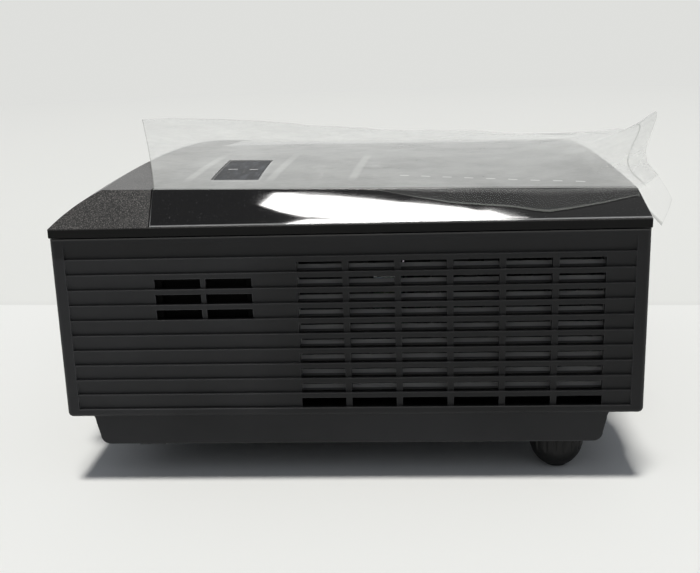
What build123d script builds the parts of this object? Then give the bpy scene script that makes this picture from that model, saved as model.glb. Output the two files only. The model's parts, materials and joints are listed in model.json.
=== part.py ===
from build123d import *
import math
import os

# Projector with a built-in disc player. Millimetres, +Z up.
# X runs along the long louvred side, from the lens end (-X) to the connector end (+X).
# Y runs from the louvred side to the side where the disc tray comes out.
# The origin is under the middle of the housing, on the surface that it stands on.

# ---------------------------------------------------------------- driving sizes
LENGTH = 260.0            # along the louvred side
WIDTH = 280.0             # louvred side to tray side
FOOT_DROP = 16.5          # underside of the plinth above the table, feet screwed in
PLINTH_HEIGHT = 16.5
CASE_HEIGHT = 83.2        # lower case, without plinth and cover
SEAM_GAP = 0.6            # shadow line between case and cover
SKIRT_HEIGHT = 4.0        # upright band of the cover
NOSE_RISE = 15.5          # top edge above the skirt at the lens end
TAIL_RISE = 11.5          # the same at the connector end
NOSE_RUN = 23.0           # length of the slope over the lens
TAIL_RUN = 5.0
FACET_RUN = 9.0           # width of the sloping sides
CROWN = 6.8               # rise of the top between its long edges
TOP_FALL = 8.7            # how much lower its edge on the tray side is
NOSE_SLANT = 14.2         # how far the nose's upper edge runs back on the way to that side
NOSE_BULGE = 1.3
SPLIT = 45.0              # lens end to the gloss panel

# walls and fits
WALL = 2.6
SIDE_WALL = 3.2           # louvred walls
FLOOR = 2.6
PANEL_WALL = 1.8
COVER_WALL = 2.2
SLIP = 0.3                # gap between pieces that move, or drop into each other
SEAT = 0.2                # gap between a panel and what carries it
PANEL_SEAM = 0.5          # between nose and gloss panel
RUNNING = 0.05            # radial clearance of shafts, pins and sliding cells
TONGUE = 1.5              # wall of the cover's locating tongue
TONGUE_DEPTH = 4.0

# louvres and vents
LOUVRES = 11
LOUVRE_PITCH = 7.0
LOUVRE_DEPTH = 1.3
LOUVRE_MARGIN = 6.0       # plain wall at each end of the bands
FIRST_LEDGE = 9.4         # below the seam
WINDOW_HEIGHT = 4.6
VENT_COLUMNS = 6
VENT_START = 108.2        # from the lens end
VENT_PITCH = 22.67
VENT_WINDOW = 19.87
PORT_START = 45.1         # small vent, from the lens end
PORT_WINDOW = 20.4
PORT_GAP = 2.2
PORT_COLUMNS = 2
PORT_BANDS = (3, 4, 5)
FAR_PORT_START = 20.0     # the same vent on the tray side

# plinth and feet
PLINTH_INSET = 8.0
PLINTH_FRONT = 12.0       # lens end of the case to the plinth
PLINTH_BACK = 16.0
PLINTH_SWEEP = 5.5        # concave radius under the case
PLINTH_ROUND = 4.5
FOOT_INSET = (35.0, 22.0)  # feet from the ends and the sides of the case
KNOB_R = 12.4
KNOB_TIP_R = 6.4
KNOB_GRIP = 4.0           # upright rim of the knob
KNOB_FLUTES = 18
FLUTE_R = 1.1
KNOB_GAP = 0.6            # under the plinth
STUD_R = 4.0
STUD_TOP_GAP = 1.0
PAD_R = 5.0
PAD_HEIGHT = 2.9
PAD_PIN_R = 2.0
PAD_PIN_TOP = 8.0
PAD_SHOW = 1.2            # how far the pad stands out of the knob
FOOT_BOSS_R = 8.0

# ceiling bracket pattern and screws
PATTERN_X = 120.0
PATTERN_Y = 140.0
PATTERN_CENTRE_X = -20.0
INSERT_BORE_R = 2.0
INSERT_R = 3.4
INSERT_LENGTH = 10.0
SCREW_R = 1.5
SCREW_HEAD_R = 3.2
SCREW_HEAD = 2.0
POST_R = 5.5
POST_INSET = (11.0, 16.0)  # cover posts from the ends and sides
SCREW_DEPTH = 20.0        # thread length of the cover screws

# keys and display on the top
KEY_NAMES = ("power_key", "source_key", "menu_key", "play_key")
KEY_COLUMNS = 2
KEY_START_X = -14.0
KEY_INSET = 36.0          # first row from the louvred side
KEY_STEP = (26.0, 24.0)
KEY_SIZE = (15.0, 9.0)
KEY_STANDS = 0.3          # above the top
KEY_TRAVEL = 0.5
KEY_FLANGE = 1.4
KEY_BOARD_DROP = 8.0
DISPLAY_X = (-61.0, -41.0)
DISPLAY_INSET = (27.0, 77.0)
DISPLAY_LEDGE = 1.5       # what the cover leaves under the window's edge

# lens
LENS_INSET = 68.0         # lens axis from the louvred side
LENS_Z = 76.0
RING_R = 30.0
RING_FRONT = 7.0          # how far the focus ring stands out of the case
RING_LENGTH = 20.0
RING_FLUTES = 36
BARREL_R = 24.0
BARREL_WALL = 3.7
BARREL_BACK = -58.0
CELL_TRAVEL = 3.0         # whole travel of the front cell

# disc loader
LOADER_X = 25.0
LOADER_WIDTH = 150.0
LOADER_FLOOR_Z = 74.0
LOADER_HEIGHT = 30.0
LOADER_WALL = 2.5
DISC_R = 60.0
DISC_MARGIN = 15.0        # tray front to the disc's edge
TRAY_Z = 92.0
TRAY_THICK = 5.0
TRAY_TRAVEL = 140.0
TRAY_KEEP = 32.0          # length that stays in the chassis when the tray is out
WELL_DEPTH = 3.0
BEZEL_HEIGHT = 17.0
BEZEL_WIDTH = 148.0
BEZEL_THICK = 3.0
MODULE = 1.5
PINION_TEETH = 14
PRESSURE = 20.0
BACKLASH = 0.4
RACK_INSET = 14.0         # rack's pitch line from the chassis side
RACK_DEPTH = 6.0
PINION_INSET = 19.0       # pinion axis from the tray front
TRAVERSE_PIVOT = (-30.0, 79.0)
TRAVERSE_HALF = 34.0
TRAVERSE_TILT = 4.6       # degrees, lowered for the tray to pass; level when raised
DISC_Z = 96.2             # underside of a disc that the raised turntable holds
DISC_THICK = 1.2
PUCK_GAP = 0.1
SPINDLE_R = 15.0
ROD_R = 1.5
SLED_TRAVEL = 34.0

# fan, light path
FAN_SIZE = 70.0
FAN_DEPTH = 15.0
FAN_X = 72.0
FAN_Z = 74.0
FAN_INSET = 27.0          # fan's inner face from the louvred side
FAN_BLADES = 7
TUNNEL_HALF = (4.2, 3.2)
WHEEL_R = 22.0
WHEEL_X = 24.0
WHEEL_LIFT = 17.5
LAMP_X = (56.0, 106.0)
LAMP_HALF = 30.0
LAMP_TOP = 107.0

# film on the top
FILM_THICK = 0.6
FILM_GAP = 0.75

# ---------------------------------------------------------------- worked-out places
LEFT = -LENGTH / 2
RIGHT = LENGTH / 2
NEAR = -WIDTH / 2
FAR = WIDTH / 2
PLINTH_Z = FOOT_DROP
CASE_Z = PLINTH_Z + PLINTH_HEIGHT
FLOOR_Z = CASE_Z + FLOOR
SEAM_Z = CASE_Z + CASE_HEIGHT
COVER_Z = SEAM_Z + SEAM_GAP
FACET_Z = COVER_Z + SKIRT_HEIGHT
NOSE_X = LEFT + NOSE_RUN
TAIL_X = RIGHT - TAIL_RUN
NOSE_Z = FACET_Z + NOSE_RISE
TAIL_Z = FACET_Z + TAIL_RISE
SPLIT_X = LEFT + SPLIT
TOP_HALF = WIDTH / 2 - FACET_RUN
SKY = NOSE_Z + 4 * CROWN
NOSE_STEPS = 4
SKIN = PANEL_WALL + SEAT + COVER_WALL
TRAY_FRONT = FAR - BEZEL_THICK
TRAY_BACK = TRAY_FRONT - TRAY_TRAVEL - TRAY_KEEP
LOADER_FRONT = FAR - 6
LOADER_BACK = TRAY_BACK - 3
DISC_Y = TRAY_FRONT - DISC_MARGIN - DISC_R
RACK_X = LOADER_X - LOADER_WIDTH / 2 + RACK_INSET
PINION_Y = TRAY_FRONT - PINION_INSET
LENS_Y = NEAR + LENS_INSET
FAN_BACK = NEAR + FAN_INSET
KEY_START = (KEY_START_X, NEAR + KEY_INSET)
DISPLAY_Y = (NEAR + DISPLAY_INSET[0], NEAR + DISPLAY_INSET[1])
POST_X = LENGTH / 2 - POST_INSET[0]
POST_Y = WIDTH / 2 - POST_INSET[1]
FOOT_X = LENGTH / 2 - FOOT_INSET[0]
FOOT_Y = WIDTH / 2 - FOOT_INSET[1]
FOOT_SPOTS = {"front": (-FOOT_X, 0.0), "near": (FOOT_X, -FOOT_Y), "far": (FOOT_X, FOOT_Y)}
PLINTH_SCREWS = [
    (LEFT + 24, -FOOT_Y + 12), (LEFT + 24, FOOT_Y - 12), (0, -FOOT_Y - 4),
    (0, FOOT_Y + 4), (RIGHT - 26, -22), (RIGHT - 26, 60)]
PITCH_R = MODULE * PINION_TEETH / 2
PINION_X = RACK_X + PITCH_R
SCREEN_SIDE = NEAR + SIDE_WALL          # inner face of the louvred wall


def block(x, y, z):
    """Box between pairs of coordinates."""
    middle = Pos((x[0] + x[1]) / 2, (y[0] + y[1]) / 2, (z[0] + z[1]) / 2)
    return middle * Box(x[1] - x[0], y[1] - y[0], z[1] - z[0])


def rod(axis, centre, radius, ends):
    """Cylinder along an axis; centre gives its other two coordinates in X, Y, Z order."""
    middle = (ends[0] + ends[1]) / 2
    length = ends[1] - ends[0]
    if axis == "x":
        return Pos(middle, *centre) * Rot(0, 90, 0) * Cylinder(radius, length)
    if axis == "y":
        return Pos(centre[0], middle, centre[1]) * Rot(90, 0, 0) * Cylinder(radius, length)
    return Pos(*centre, middle) * Cylinder(radius, length)


def tube(axis, centre, outer, inner, ends):
    return rod(axis, centre, outer, ends) - rod(axis, centre, inner, ends)


def around(value, half):
    return (value - half, value + half)


# ---------------------------------------------------------------- form of the cover
def roof_z(x):
    """Height of the top's long edges, which fall towards the connector end."""
    return NOSE_Z + (TAIL_Z - NOSE_Z) * (x - NOSE_X) / (TAIL_X - NOSE_X)


def across(y):
    """Share of the way from the top's louvred-side edge to its tray-side edge."""
    return (y + TOP_HALF) / (2 * TOP_HALF)


def top_z(x, y):
    """Height of the crowned top, which falls towards the tray side."""
    radius = (TOP_HALF ** 2 + CROWN ** 2) / (2 * CROWN)
    return roof_z(x) - TOP_FALL * across(y) + CROWN - radius + math.sqrt(radius ** 2 - y ** 2)


def cover_section(x, inset, base):
    half = WIDTH / 2 - inset
    edge = TOP_HALF - inset
    near_top = roof_z(x) - inset
    far_top = near_top - TOP_FALL
    shoulder = FACET_Z - inset / 2
    left_side = ((-edge, near_top), (-half, shoulder), (-half, base))
    right_side = ((half, base), (half, shoulder), (edge, far_top))
    outline = Polyline(*left_side, *right_side)
    crown = ThreePointArc((edge, far_top), (0, (near_top + far_top) / 2 + CROWN), (-edge, near_top))
    return Plane(origin=(x, 0, 0), x_dir=(0, 1, 0), z_dir=(1, 0, 0)) * make_face(outline + crown)


def cover_side_profile(inset, base):
    """Side view of the cover without its nose: upright in front, a steep slope behind."""
    front = LEFT + inset
    back = RIGHT - inset
    shoulder = FACET_Z - inset / 2
    tail_slope = (TAIL_Z - FACET_Z) / TAIL_RUN
    tail_top = (back - (SKY - shoulder) / tail_slope, SKY)
    outline = Polyline((front, base), (back, base), (back, shoulder), tail_top, (front, SKY), close=True)
    return Plane.XZ * make_face(outline)


def nose_section(inset, y):
    """Space in front of the nose's curved slope, in a plane across Y."""
    start = Vector(LEFT + inset, FACET_Z - inset / 2)
    ridge_x = NOSE_X + NOSE_SLANT * across(y)
    ridge = Vector(ridge_x + inset, top_z(ridge_x, y) - inset)
    along = (ridge - start).normalized()
    bulge = NOSE_BULGE * (ridge.Y - start.Y) / NOSE_RISE
    middle = (start + ridge) / 2 + Vector(-along.Y, along.X) * bulge
    nose = ThreePointArc(start, middle, ridge)
    before = start - (nose % 0) * 3
    beyond = ridge + (nose % 1) * 3
    rest = Polyline(ridge, beyond, (beyond.X, SKY), (before.X, SKY), before, start)
    return Plane(origin=(0, y, 0), x_dir=(1, 0, 0), z_dir=(0, -1, 0)) * make_face(nose + rest)


def cover_form(inset, base):
    """Solid inside the cover's outer faces, drawn in by inset."""
    body = loft([cover_section(LEFT, inset, base), cover_section(RIGHT, inset, base)], ruled=True)
    body &= extrude(cover_side_profile(inset, base), WIDTH, both=True)
    rows = [NEAR - 1 + (WIDTH + 2) * i / NOSE_STEPS for i in range(NOSE_STEPS + 1)]
    return body - loft([nose_section(inset, y) for y in rows])


def plan_column(x, y, corner, low, high):
    """Upright column with a rounded rectangular plan."""
    size_x = x[1] - x[0]
    size_y = y[1] - y[0]
    plan = RectangleRounded(size_x, size_y, corner)
    return Pos((x[0] + x[1]) / 2, (y[0] + y[1]) / 2, low) * extrude(plan, high - low)


# ---------------------------------------------------------------- louvred walls
TRAY_BEZEL_Z = around(TRAY_Z + TRAY_THICK / 2, BEZEL_HEIGHT / 2)


def ledge_z(band):
    """Top of the ledge under a band; bands count from 1 at the top."""
    return SEAM_Z - FIRST_LEDGE - LOUVRE_PITCH * (band - 1)


def louvre_cut(start, end, band):
    """Wedge that tips one band of the near wall inwards towards its ledge."""
    low = ledge_z(band)
    high = low + LOUVRE_PITCH
    wedge = Polyline((NEAR, low), (NEAR + LOUVRE_DEPTH, low), (NEAR, high), close=True)
    face = Plane(origin=(start, 0, 0), x_dir=(0, 1, 0), z_dir=(1, 0, 0)) * make_face(wedge)
    return extrude(face, end - start)


def window_cut(start, width, band):
    low = ledge_z(band)
    return block((start, start + width), (NEAR - 1, SCREEN_SIDE + 1), (low, low + WINDOW_HEIGHT))


def port_cuts(first_x):
    step = PORT_WINDOW + PORT_GAP
    columns = [first_x + step * i for i in range(PORT_COLUMNS)]
    return [window_cut(x, PORT_WINDOW, band) for x in columns for band in PORT_BANDS]


def near_wall_cuts():
    span = (LEFT + LOUVRE_MARGIN, RIGHT - LOUVRE_MARGIN)
    cuts = [louvre_cut(*span, band) for band in range(1, LOUVRES + 1)]
    for column in range(VENT_COLUMNS):
        x = LEFT + VENT_START + VENT_PITCH * column
        cuts += [window_cut(x, VENT_WINDOW, band) for band in range(2, LOUVRES + 1)]
    return cuts + port_cuts(LEFT + PORT_START)


def far_wall_cuts():
    """The tray side has the same bands below and beside the tray, mirrored."""
    span = (LEFT + LOUVRE_MARGIN, RIGHT - LOUVRE_MARGIN)
    plain = LOADER_X - BEZEL_WIDTH / 2 - LOUVRE_MARGIN
    cuts = []
    for band in range(1, LOUVRES + 1):
        level = ledge_z(band) + LOUVRE_PITCH < TRAY_BEZEL_Z[0] - 2
        cuts.append(louvre_cut(span[0], span[1] if level else plain, band))
    cuts += port_cuts(LEFT + FAR_PORT_START)
    return [mirror(cut, Plane.XZ) for cut in cuts]


OPENING_Z = (CASE_Z + 9.0, SEAM_Z - 7.2)
FRONT_OPENING = ((NEAR + 22.0, FAR - 22.0), OPENING_Z)
REAR_OPENING = ((NEAR + 20.0, FAR - 20.0), OPENING_Z)
OPENING_CORNER = 6.0


def opening_plate(opening, grow, x):
    """Rounded plate the shape of a wall opening, grown by a margin, between two X values."""
    (y0, y1), (z0, z1) = opening
    outline = RectangleRounded(y1 - y0 + 2 * grow, z1 - z0 + 2 * grow, OPENING_CORNER + grow)
    frame = Plane(origin=(x[0], (y0 + y1) / 2, (z0 + z1) / 2), x_dir=(0, 1, 0), z_dir=(1, 0, 0))
    return extrude(frame * outline, x[1] - x[0])


# ---------------------------------------------------------------- lower case
POST_TOP = COVER_Z - TONGUE_DEPTH
CASTING_X = (-58.0, 8.0)
CASTING_Z = (46.0, 104.0)
CASTING_HALF = 30.0
CASTING_FEET = [(x, LENS_Y + side * 24) for x in (-50, 0) for side in (-1, 1)]
LOADER_POST_X = LOADER_WIDTH / 2 - 9
LOADER_POST_Y = (LOADER_BACK + 7, LOADER_FRONT - 7)
LOADER_POSTS = [(LOADER_X + side * LOADER_POST_X, y) for side in (-1, 1) for y in LOADER_POST_Y]
BOARDS = {
    "power_supply": ((-33.0, 26.0), (-26.0, FAR - 20), 40.0),
    "main_board": ((30.0, RIGHT - 4.5), (-20.0, FAR - 23), 46.0),
    "lamp_driver": ((-118.0, -60.0), (-28.0, 60.0), 40.0),
}
BOARD_THICK = 1.6
BOARD_EDGE = 5.0
STANDOFF_R = 3.0
EJECT_X = LOADER_X + max(LOADER_WIDTH, BEZEL_WIDTH) / 2 + 9
EJECT_Z = TRAY_Z + TRAY_THICK / 2
EJECT_R = 5.0
EJECT_BOARD_Y = FAR - 10
EJECT_BOARD_HALF = 12.0
LAMP_SHAFT = (LAMP_X[0] - 1.0, LAMP_X[1] + 1.0)


def board_corners(name):
    (x0, x1), (y0, y1), _ = BOARDS[name]
    xs = (x0 + BOARD_EDGE, x1 - BOARD_EDGE)
    ys = (y0 + BOARD_EDGE, y1 - BOARD_EDGE)
    return [(x, y) for x in xs for y in ys]


def lower_case():
    shell = block((LEFT, RIGHT), (NEAR, FAR), (CASE_Z, SEAM_Z))
    shell = fillet(shell.edges().filter_by(Axis.Z), 2.5)
    shell = fillet(shell.faces().sort_by(Axis.Z)[0].edges(), 2.2)
    inside = ((LEFT + WALL, RIGHT - WALL), (NEAR + SIDE_WALL, FAR - SIDE_WALL), (FLOOR_Z, SEAM_Z))
    shell -= block(*inside)
    shell -= near_wall_cuts()
    shell -= far_wall_cuts()
    shell -= opening_plate(FRONT_OPENING, 0, (LEFT - 1, LEFT + WALL + 1))
    shell -= opening_plate(REAR_OPENING, 0, (RIGHT - WALL - 1, RIGHT + 1))
    slot = (around(LOADER_X, BEZEL_WIDTH / 2 + SLIP), (FAR - SIDE_WALL - 1, FAR + 1))
    shell -= block(*slot, (TRAY_BEZEL_Z[0] - SLIP, TRAY_BEZEL_Z[1] + SLIP))
    shell -= rod("y", (EJECT_X, EJECT_Z), EJECT_R + SLIP, (FAR - SIDE_WALL - 1, FAR + 1))
    lamp_hole = (LAMP_SHAFT, around(LENS_Y, LAMP_HALF + 1), (CASE_Z - 1, FLOOR_Z + 1))
    shell -= block(*lamp_hole)
    for x in (-POST_X, POST_X):
        for y in (-POST_Y, POST_Y):
            shell += rod("z", (x, y), POST_R, (CASE_Z, POST_TOP))
            shell -= rod("z", (x, y), SCREW_HEAD_R + SLIP, (CASE_Z - 1, POST_TOP - SCREW_HEAD))
            shell -= rod("z", (x, y), SCREW_R + SLIP, (CASE_Z, POST_TOP + 1))
    for x, y in CASTING_FEET:
        shell += rod("z", (x, y), 4.0, (FLOOR_Z, CASTING_Z[0]))
    for x, y in LOADER_POSTS:
        shell += rod("z", (x, y), 4.5, (FLOOR_Z, LOADER_FLOOR_Z))
    for name, (_, _, z) in BOARDS.items():
        for x, y in board_corners(name):
            shell += rod("z", (x, y), STANDOFF_R, (FLOOR_Z, z))
    fan_rail = (around(FAN_X, FAN_SIZE / 2 - 4), (FAN_BACK - FAN_DEPTH + 2, FAN_BACK - 2))
    shell += block(*fan_rail, (FLOOR_Z, FAN_Z - FAN_SIZE / 2))
    for z in around(EJECT_Z, EJECT_BOARD_HALF - 2.5):
        shell += rod("y", (EJECT_X, z), 1.8, (EJECT_BOARD_Y + BOARD_THICK, FAR - SIDE_WALL))
    return shell


# ---------------------------------------------------------------- plinth
DOOR_X = (LAMP_X[0] - 6, LAMP_X[1] + 6)
DOOR_Y = around(LENS_Y, LAMP_HALF + 5)
DOOR_THICK = 1.5
DOOR_LEDGE = 4.0


def plinth_profile(inset):
    """Side view of the plinth: rounded bottom corners and ends swept out under the case."""
    low = PLINTH_Z + inset
    bottom_round = PLINTH_ROUND - inset / 2
    left = LEFT + PLINTH_FRONT + inset
    right = RIGHT - PLINTH_BACK - inset
    lean = 1.5
    left_top = (left - lean - PLINTH_SWEEP, CASE_Z)
    right_top = (right + lean + PLINTH_SWEEP, CASE_Z)
    left_wall = (left - lean, CASE_Z - PLINTH_SWEEP)
    right_wall = (right + lean, CASE_Z - PLINTH_SWEEP)
    left_foot = (left, low + bottom_round)
    right_foot = (right, low + bottom_round)
    left_low = (left + bottom_round, low)
    right_low = (right - bottom_round, low)
    outline = (
        RadiusArc(left_top, left_wall, PLINTH_SWEEP)
        + Line(left_wall, left_foot)
        + RadiusArc(left_foot, left_low, -bottom_round)
        + Line(left_low, right_low)
        + RadiusArc(right_low, right_foot, -bottom_round)
        + Line(right_foot, right_wall)
        + RadiusArc(right_wall, right_top, PLINTH_SWEEP)
        + Line(right_top, left_top)
    )
    return Plane.XZ * make_face(outline)


def pattern_spots():
    xs = (PATTERN_CENTRE_X - PATTERN_X / 2, PATTERN_CENTRE_X + PATTERN_X / 2)
    return [(x, side * PATTERN_Y / 2) for x in xs for side in (-1, 1)]


def base_plinth():
    half = WIDTH / 2 - PLINTH_INSET
    body = extrude(plinth_profile(0), half, both=True)
    body -= extrude(plinth_profile(WALL), half - WALL, both=True) & block(
        (LEFT + PLINTH_FRONT, RIGHT - PLINTH_BACK), (NEAR, FAR), (PLINTH_Z, CASE_Z + 1))
    for x, y in FOOT_SPOTS.values():
        body += rod("z", (x, y), FOOT_BOSS_R, (PLINTH_Z, CASE_Z))
        body -= rod("z", (x, y), STUD_R + RUNNING, (PLINTH_Z - 1, CASE_Z + 1))
    for x, y in pattern_spots():
        body += rod("z", (x, y), INSERT_R + 2.5, (PLINTH_Z, PLINTH_Z + INSERT_LENGTH + 2))
        body -= rod("z", (x, y), INSERT_R, (PLINTH_Z - 1, PLINTH_Z + INSERT_LENGTH))
    for x, y in PLINTH_SCREWS:
        body += rod("z", (x, y), SCREW_HEAD_R + 2, (PLINTH_Z, CASE_Z))
        body -= rod("z", (x, y), SCREW_HEAD_R + SLIP, (PLINTH_Z - 1, PLINTH_Z + 2 * SCREW_HEAD))
        body -= rod("z", (x, y), SCREW_R + SLIP, (PLINTH_Z, CASE_Z + 1))
    body -= block(DOOR_X, DOOR_Y, (PLINTH_Z - 1, PLINTH_Z + DOOR_THICK + SEAT))
    hole_x = (DOOR_X[0] + DOOR_LEDGE, DOOR_X[1] - DOOR_LEDGE)
    hole_y = (DOOR_Y[0] + DOOR_LEDGE, DOOR_Y[1] - DOOR_LEDGE)
    body -= block(hole_x, hole_y, (PLINTH_Z - 1, PLINTH_Z + 2 * WALL))
    nub = (around(LEFT + 36, 6), (NEAR + PLINTH_INSET + 1, NEAR + PLINTH_INSET + 5))
    return body + block(*nub, (PLINTH_Z - 0.8, PLINTH_Z + 1))


def lamp_door():
    x = (DOOR_X[0] + SLIP, DOOR_X[1] - SLIP)
    y = (DOOR_Y[0] + SLIP, DOOR_Y[1] - SLIP)
    door = block(x, y, (PLINTH_Z, PLINTH_Z + DOOR_THICK))
    grip = (around((x[0] + x[1]) / 2, 12), (y[1] - 8, y[1] - 5))
    return door - block(*grip, (PLINTH_Z - 1, PLINTH_Z + DOOR_THICK / 2))


def threaded_inserts():
    ends = (PLINTH_Z, PLINTH_Z + INSERT_LENGTH)
    return [tube("z", spot, INSERT_R, INSERT_BORE_R, ends) for spot in pattern_spots()]


def screw(x, y, head_z, length):
    """Pan screw that points up; head_z is the underside of its head's seat."""
    head = rod("z", (x, y), SCREW_HEAD_R, (head_z - SCREW_HEAD, head_z))
    head -= rod("z", (x, y), SCREW_HEAD_R / 2, (head_z - SCREW_HEAD - 1, head_z - SCREW_HEAD + 1))
    return head + rod("z", (x, y), SCREW_R, (head_z, head_z + length))


def case_screws():
    """Four long-reach cover screws up the posts, and the plinth's own screws."""
    corners = [(x, y) for x in (-POST_X, POST_X) for y in (-POST_Y, POST_Y)]
    screws = [screw(x, y, POST_TOP - SCREW_HEAD, SCREW_DEPTH / 2) for x, y in corners]
    seat = PLINTH_Z + 2 * SCREW_HEAD
    return screws + [screw(x, y, seat, CASE_Z - seat) for x, y in PLINTH_SCREWS]


# ---------------------------------------------------------------- feet
def foot_knob(x, y):
    """Bowl-shaped knurled knob with its screw."""
    top = PLINTH_Z - KNOB_GAP
    outline = Polyline((0, PAD_SHOW), (0, top), (KNOB_R, top), (KNOB_R, top - KNOB_GRIP))
    belly = RadiusArc((KNOB_R, top - KNOB_GRIP), (KNOB_TIP_R, PAD_SHOW), 14.0)
    sole = Line((KNOB_TIP_R, PAD_SHOW), (0, PAD_SHOW))
    knob = revolve(Plane.XZ * make_face(outline + belly + sole), Axis.Z)
    for i in range(KNOB_FLUTES):
        angle = 2 * math.pi * i / KNOB_FLUTES
        reach = KNOB_R + FLUTE_R / 2
        flute = (reach * math.cos(angle), reach * math.sin(angle))
        knob -= rod("z", flute, FLUTE_R, (top - KNOB_GRIP - 4, top + 1))
    knob += rod("z", (0, 0), STUD_R, (top, CASE_Z - STUD_TOP_GAP))
    knob -= rod("z", (0, 0), PAD_R + SLIP, (PAD_SHOW - 1, PAD_HEIGHT + SLIP))
    knob -= rod("z", (0, 0), PAD_PIN_R + RUNNING, (PAD_SHOW, PAD_PIN_TOP + SLIP))
    return Pos(x, y, 0) * knob


def foot_pad(x, y):
    disc = rod("z", (x, y), PAD_R, (0, PAD_HEIGHT))
    return disc + rod("z", (x, y), PAD_PIN_R, (PAD_HEIGHT, PAD_PIN_TOP))


# ---------------------------------------------------------------- top cover, panel, keys
def key_spots():
    spots = {}
    for i, name in enumerate(KEY_NAMES):
        row, column = divmod(i, KEY_COLUMNS)
        spots[name] = (KEY_START[0] + KEY_STEP[0] * column, KEY_START[1] + KEY_STEP[1] * row)
    return spots


def key_column(spot, grow, low, high):
    x = around(spot[0], KEY_SIZE[0] / 2 + grow)
    y = around(spot[1], KEY_SIZE[1] / 2 + grow)
    return plan_column(x, y, KEY_SIZE[1] / 2 + grow - 0.6, low, high)


KEY_END_X = KEY_START[0] + (KEY_COLUMNS - 1) * KEY_STEP[0]
KEY_ROOF = top_z(KEY_END_X, KEY_START[1]) - SKIN
KEY_FLANGE_Z = (KEY_ROOF - 2.6, KEY_ROOF - 1.4)
KEY_BOARD_Z = KEY_FLANGE_Z[0] - KEY_TRAVEL - KEY_BOARD_DROP / 2
BOARD_KEYS_X = (KEY_START[0] - 15, KEY_END_X + 15)
BOARD_KEYS_Y = (KEY_START[1] - 10, KEY_START[1] + KEY_STEP[1] + 10)


def key_posts():
    xs = (BOARD_KEYS_X[0] + 3, BOARD_KEYS_X[1] - 3)
    ys = (BOARD_KEYS_Y[0] + 3, BOARD_KEYS_Y[1] - 3)
    return [(x, y) for x in xs for y in ys]


def display_column(grow, low, high):
    x = (DISPLAY_X[0] - grow, DISPLAY_X[1] + grow)
    y = (DISPLAY_Y[0] - grow, DISPLAY_Y[1] + grow)
    return plan_column(x, y, 1.5, low, high)


def panel_zone(start, low):
    """Everything behind a seam that runs beside the nose's upper edge."""
    ends = [(start + NOSE_SLANT * across(y), y) for y in (NEAR - 1, FAR + 1)]
    plan = Polyline(ends[0], (RIGHT + 1, NEAR - 1), (RIGHT + 1, FAR + 1), ends[1], close=True)
    return Pos(0, 0, low) * extrude(make_face(plan), SKY + 1 - low)


def top_cover():
    outer = cover_form(0, COVER_Z)
    recess = (outer - cover_form(PANEL_WALL + SEAT, COVER_Z)) & panel_zone(SPLIT_X, FACET_Z)
    cover = outer - recess - cover_form(SKIN, COVER_Z - 1)
    gap = max(WALL, SIDE_WALL) + SLIP
    rim_x = (LEFT + gap, RIGHT - gap)
    rim_y = (NEAR + gap, FAR - gap)
    rim_z = (COVER_Z - TONGUE_DEPTH + SLIP, COVER_Z + TONGUE)
    rim = block(rim_x, rim_y, rim_z)
    hollow_x = (rim_x[0] + TONGUE, rim_x[1] - TONGUE)
    hollow_y = (rim_y[0] + TONGUE, rim_y[1] - TONGUE)
    cover += rim - block(hollow_x, hollow_y, (rim_z[0] - 1, rim_z[1] + 1))
    roof = cover_form(SKIN / 2, COVER_Z)
    for x in (-POST_X, POST_X):
        for y in (-POST_Y, POST_Y):
            cover += rod("z", (x, y), POST_R - 1, (POST_TOP, COVER_Z))
            cover += rod("z", (x, y), POST_R - 1, (COVER_Z, SKY)) & roof
            cover -= rod("z", (x, y), SCREW_R, (POST_TOP - 1, POST_TOP + SCREW_DEPTH / 2))
    for x, y in key_posts():
        cover += rod("z", (x, y), 2.5, (KEY_BOARD_Z + BOARD_THICK, SKY)) & roof
    for spot in key_spots().values():
        cover -= key_column(spot, SLIP, COVER_Z, SKY)
    return cover - display_column(-DISPLAY_LEDGE, COVER_Z, SKY)


def gloss_panel():
    shell = cover_form(0, COVER_Z) - cover_form(PANEL_WALL, COVER_Z - 1)
    panel = shell & panel_zone(SPLIT_X + PANEL_SEAM, FACET_Z + SEAT)
    for spot in key_spots().values():
        panel -= key_column(spot, SLIP, COVER_Z, SKY)
    return panel - display_column(SEAT, COVER_Z, SKY)


def display_window():
    return display_column(0, COVER_Z, SKY) & (cover_form(0, COVER_Z) - cover_form(PANEL_WALL, COVER_Z - 1))


def key(spot):
    cap = key_column(spot, 0, KEY_FLANGE_Z[0], SKY) & cover_form(-KEY_STANDS, COVER_Z)
    return cap + key_column(spot, KEY_FLANGE, *KEY_FLANGE_Z)


def key_boards():
    board = block(BOARD_KEYS_X, BOARD_KEYS_Y, (KEY_BOARD_Z, KEY_BOARD_Z + BOARD_THICK))
    for x, y in key_spots().values():
        switch_top = KEY_FLANGE_Z[0] - KEY_TRAVEL - 1
        switch = (around(x, 3), around(y, 3), (KEY_BOARD_Z + BOARD_THICK, switch_top))
        board += block(*switch)
        board += rod("z", (x, y), 1.6, (switch_top, switch_top + 0.9))
    return [board, eject_board()]


# ---------------------------------------------------------------- front: bezel and lens
IR_SPOT = (0.0, LENS_Z)
IR_R = 7.0
BEZEL_FLANGE = 1.6


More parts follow.
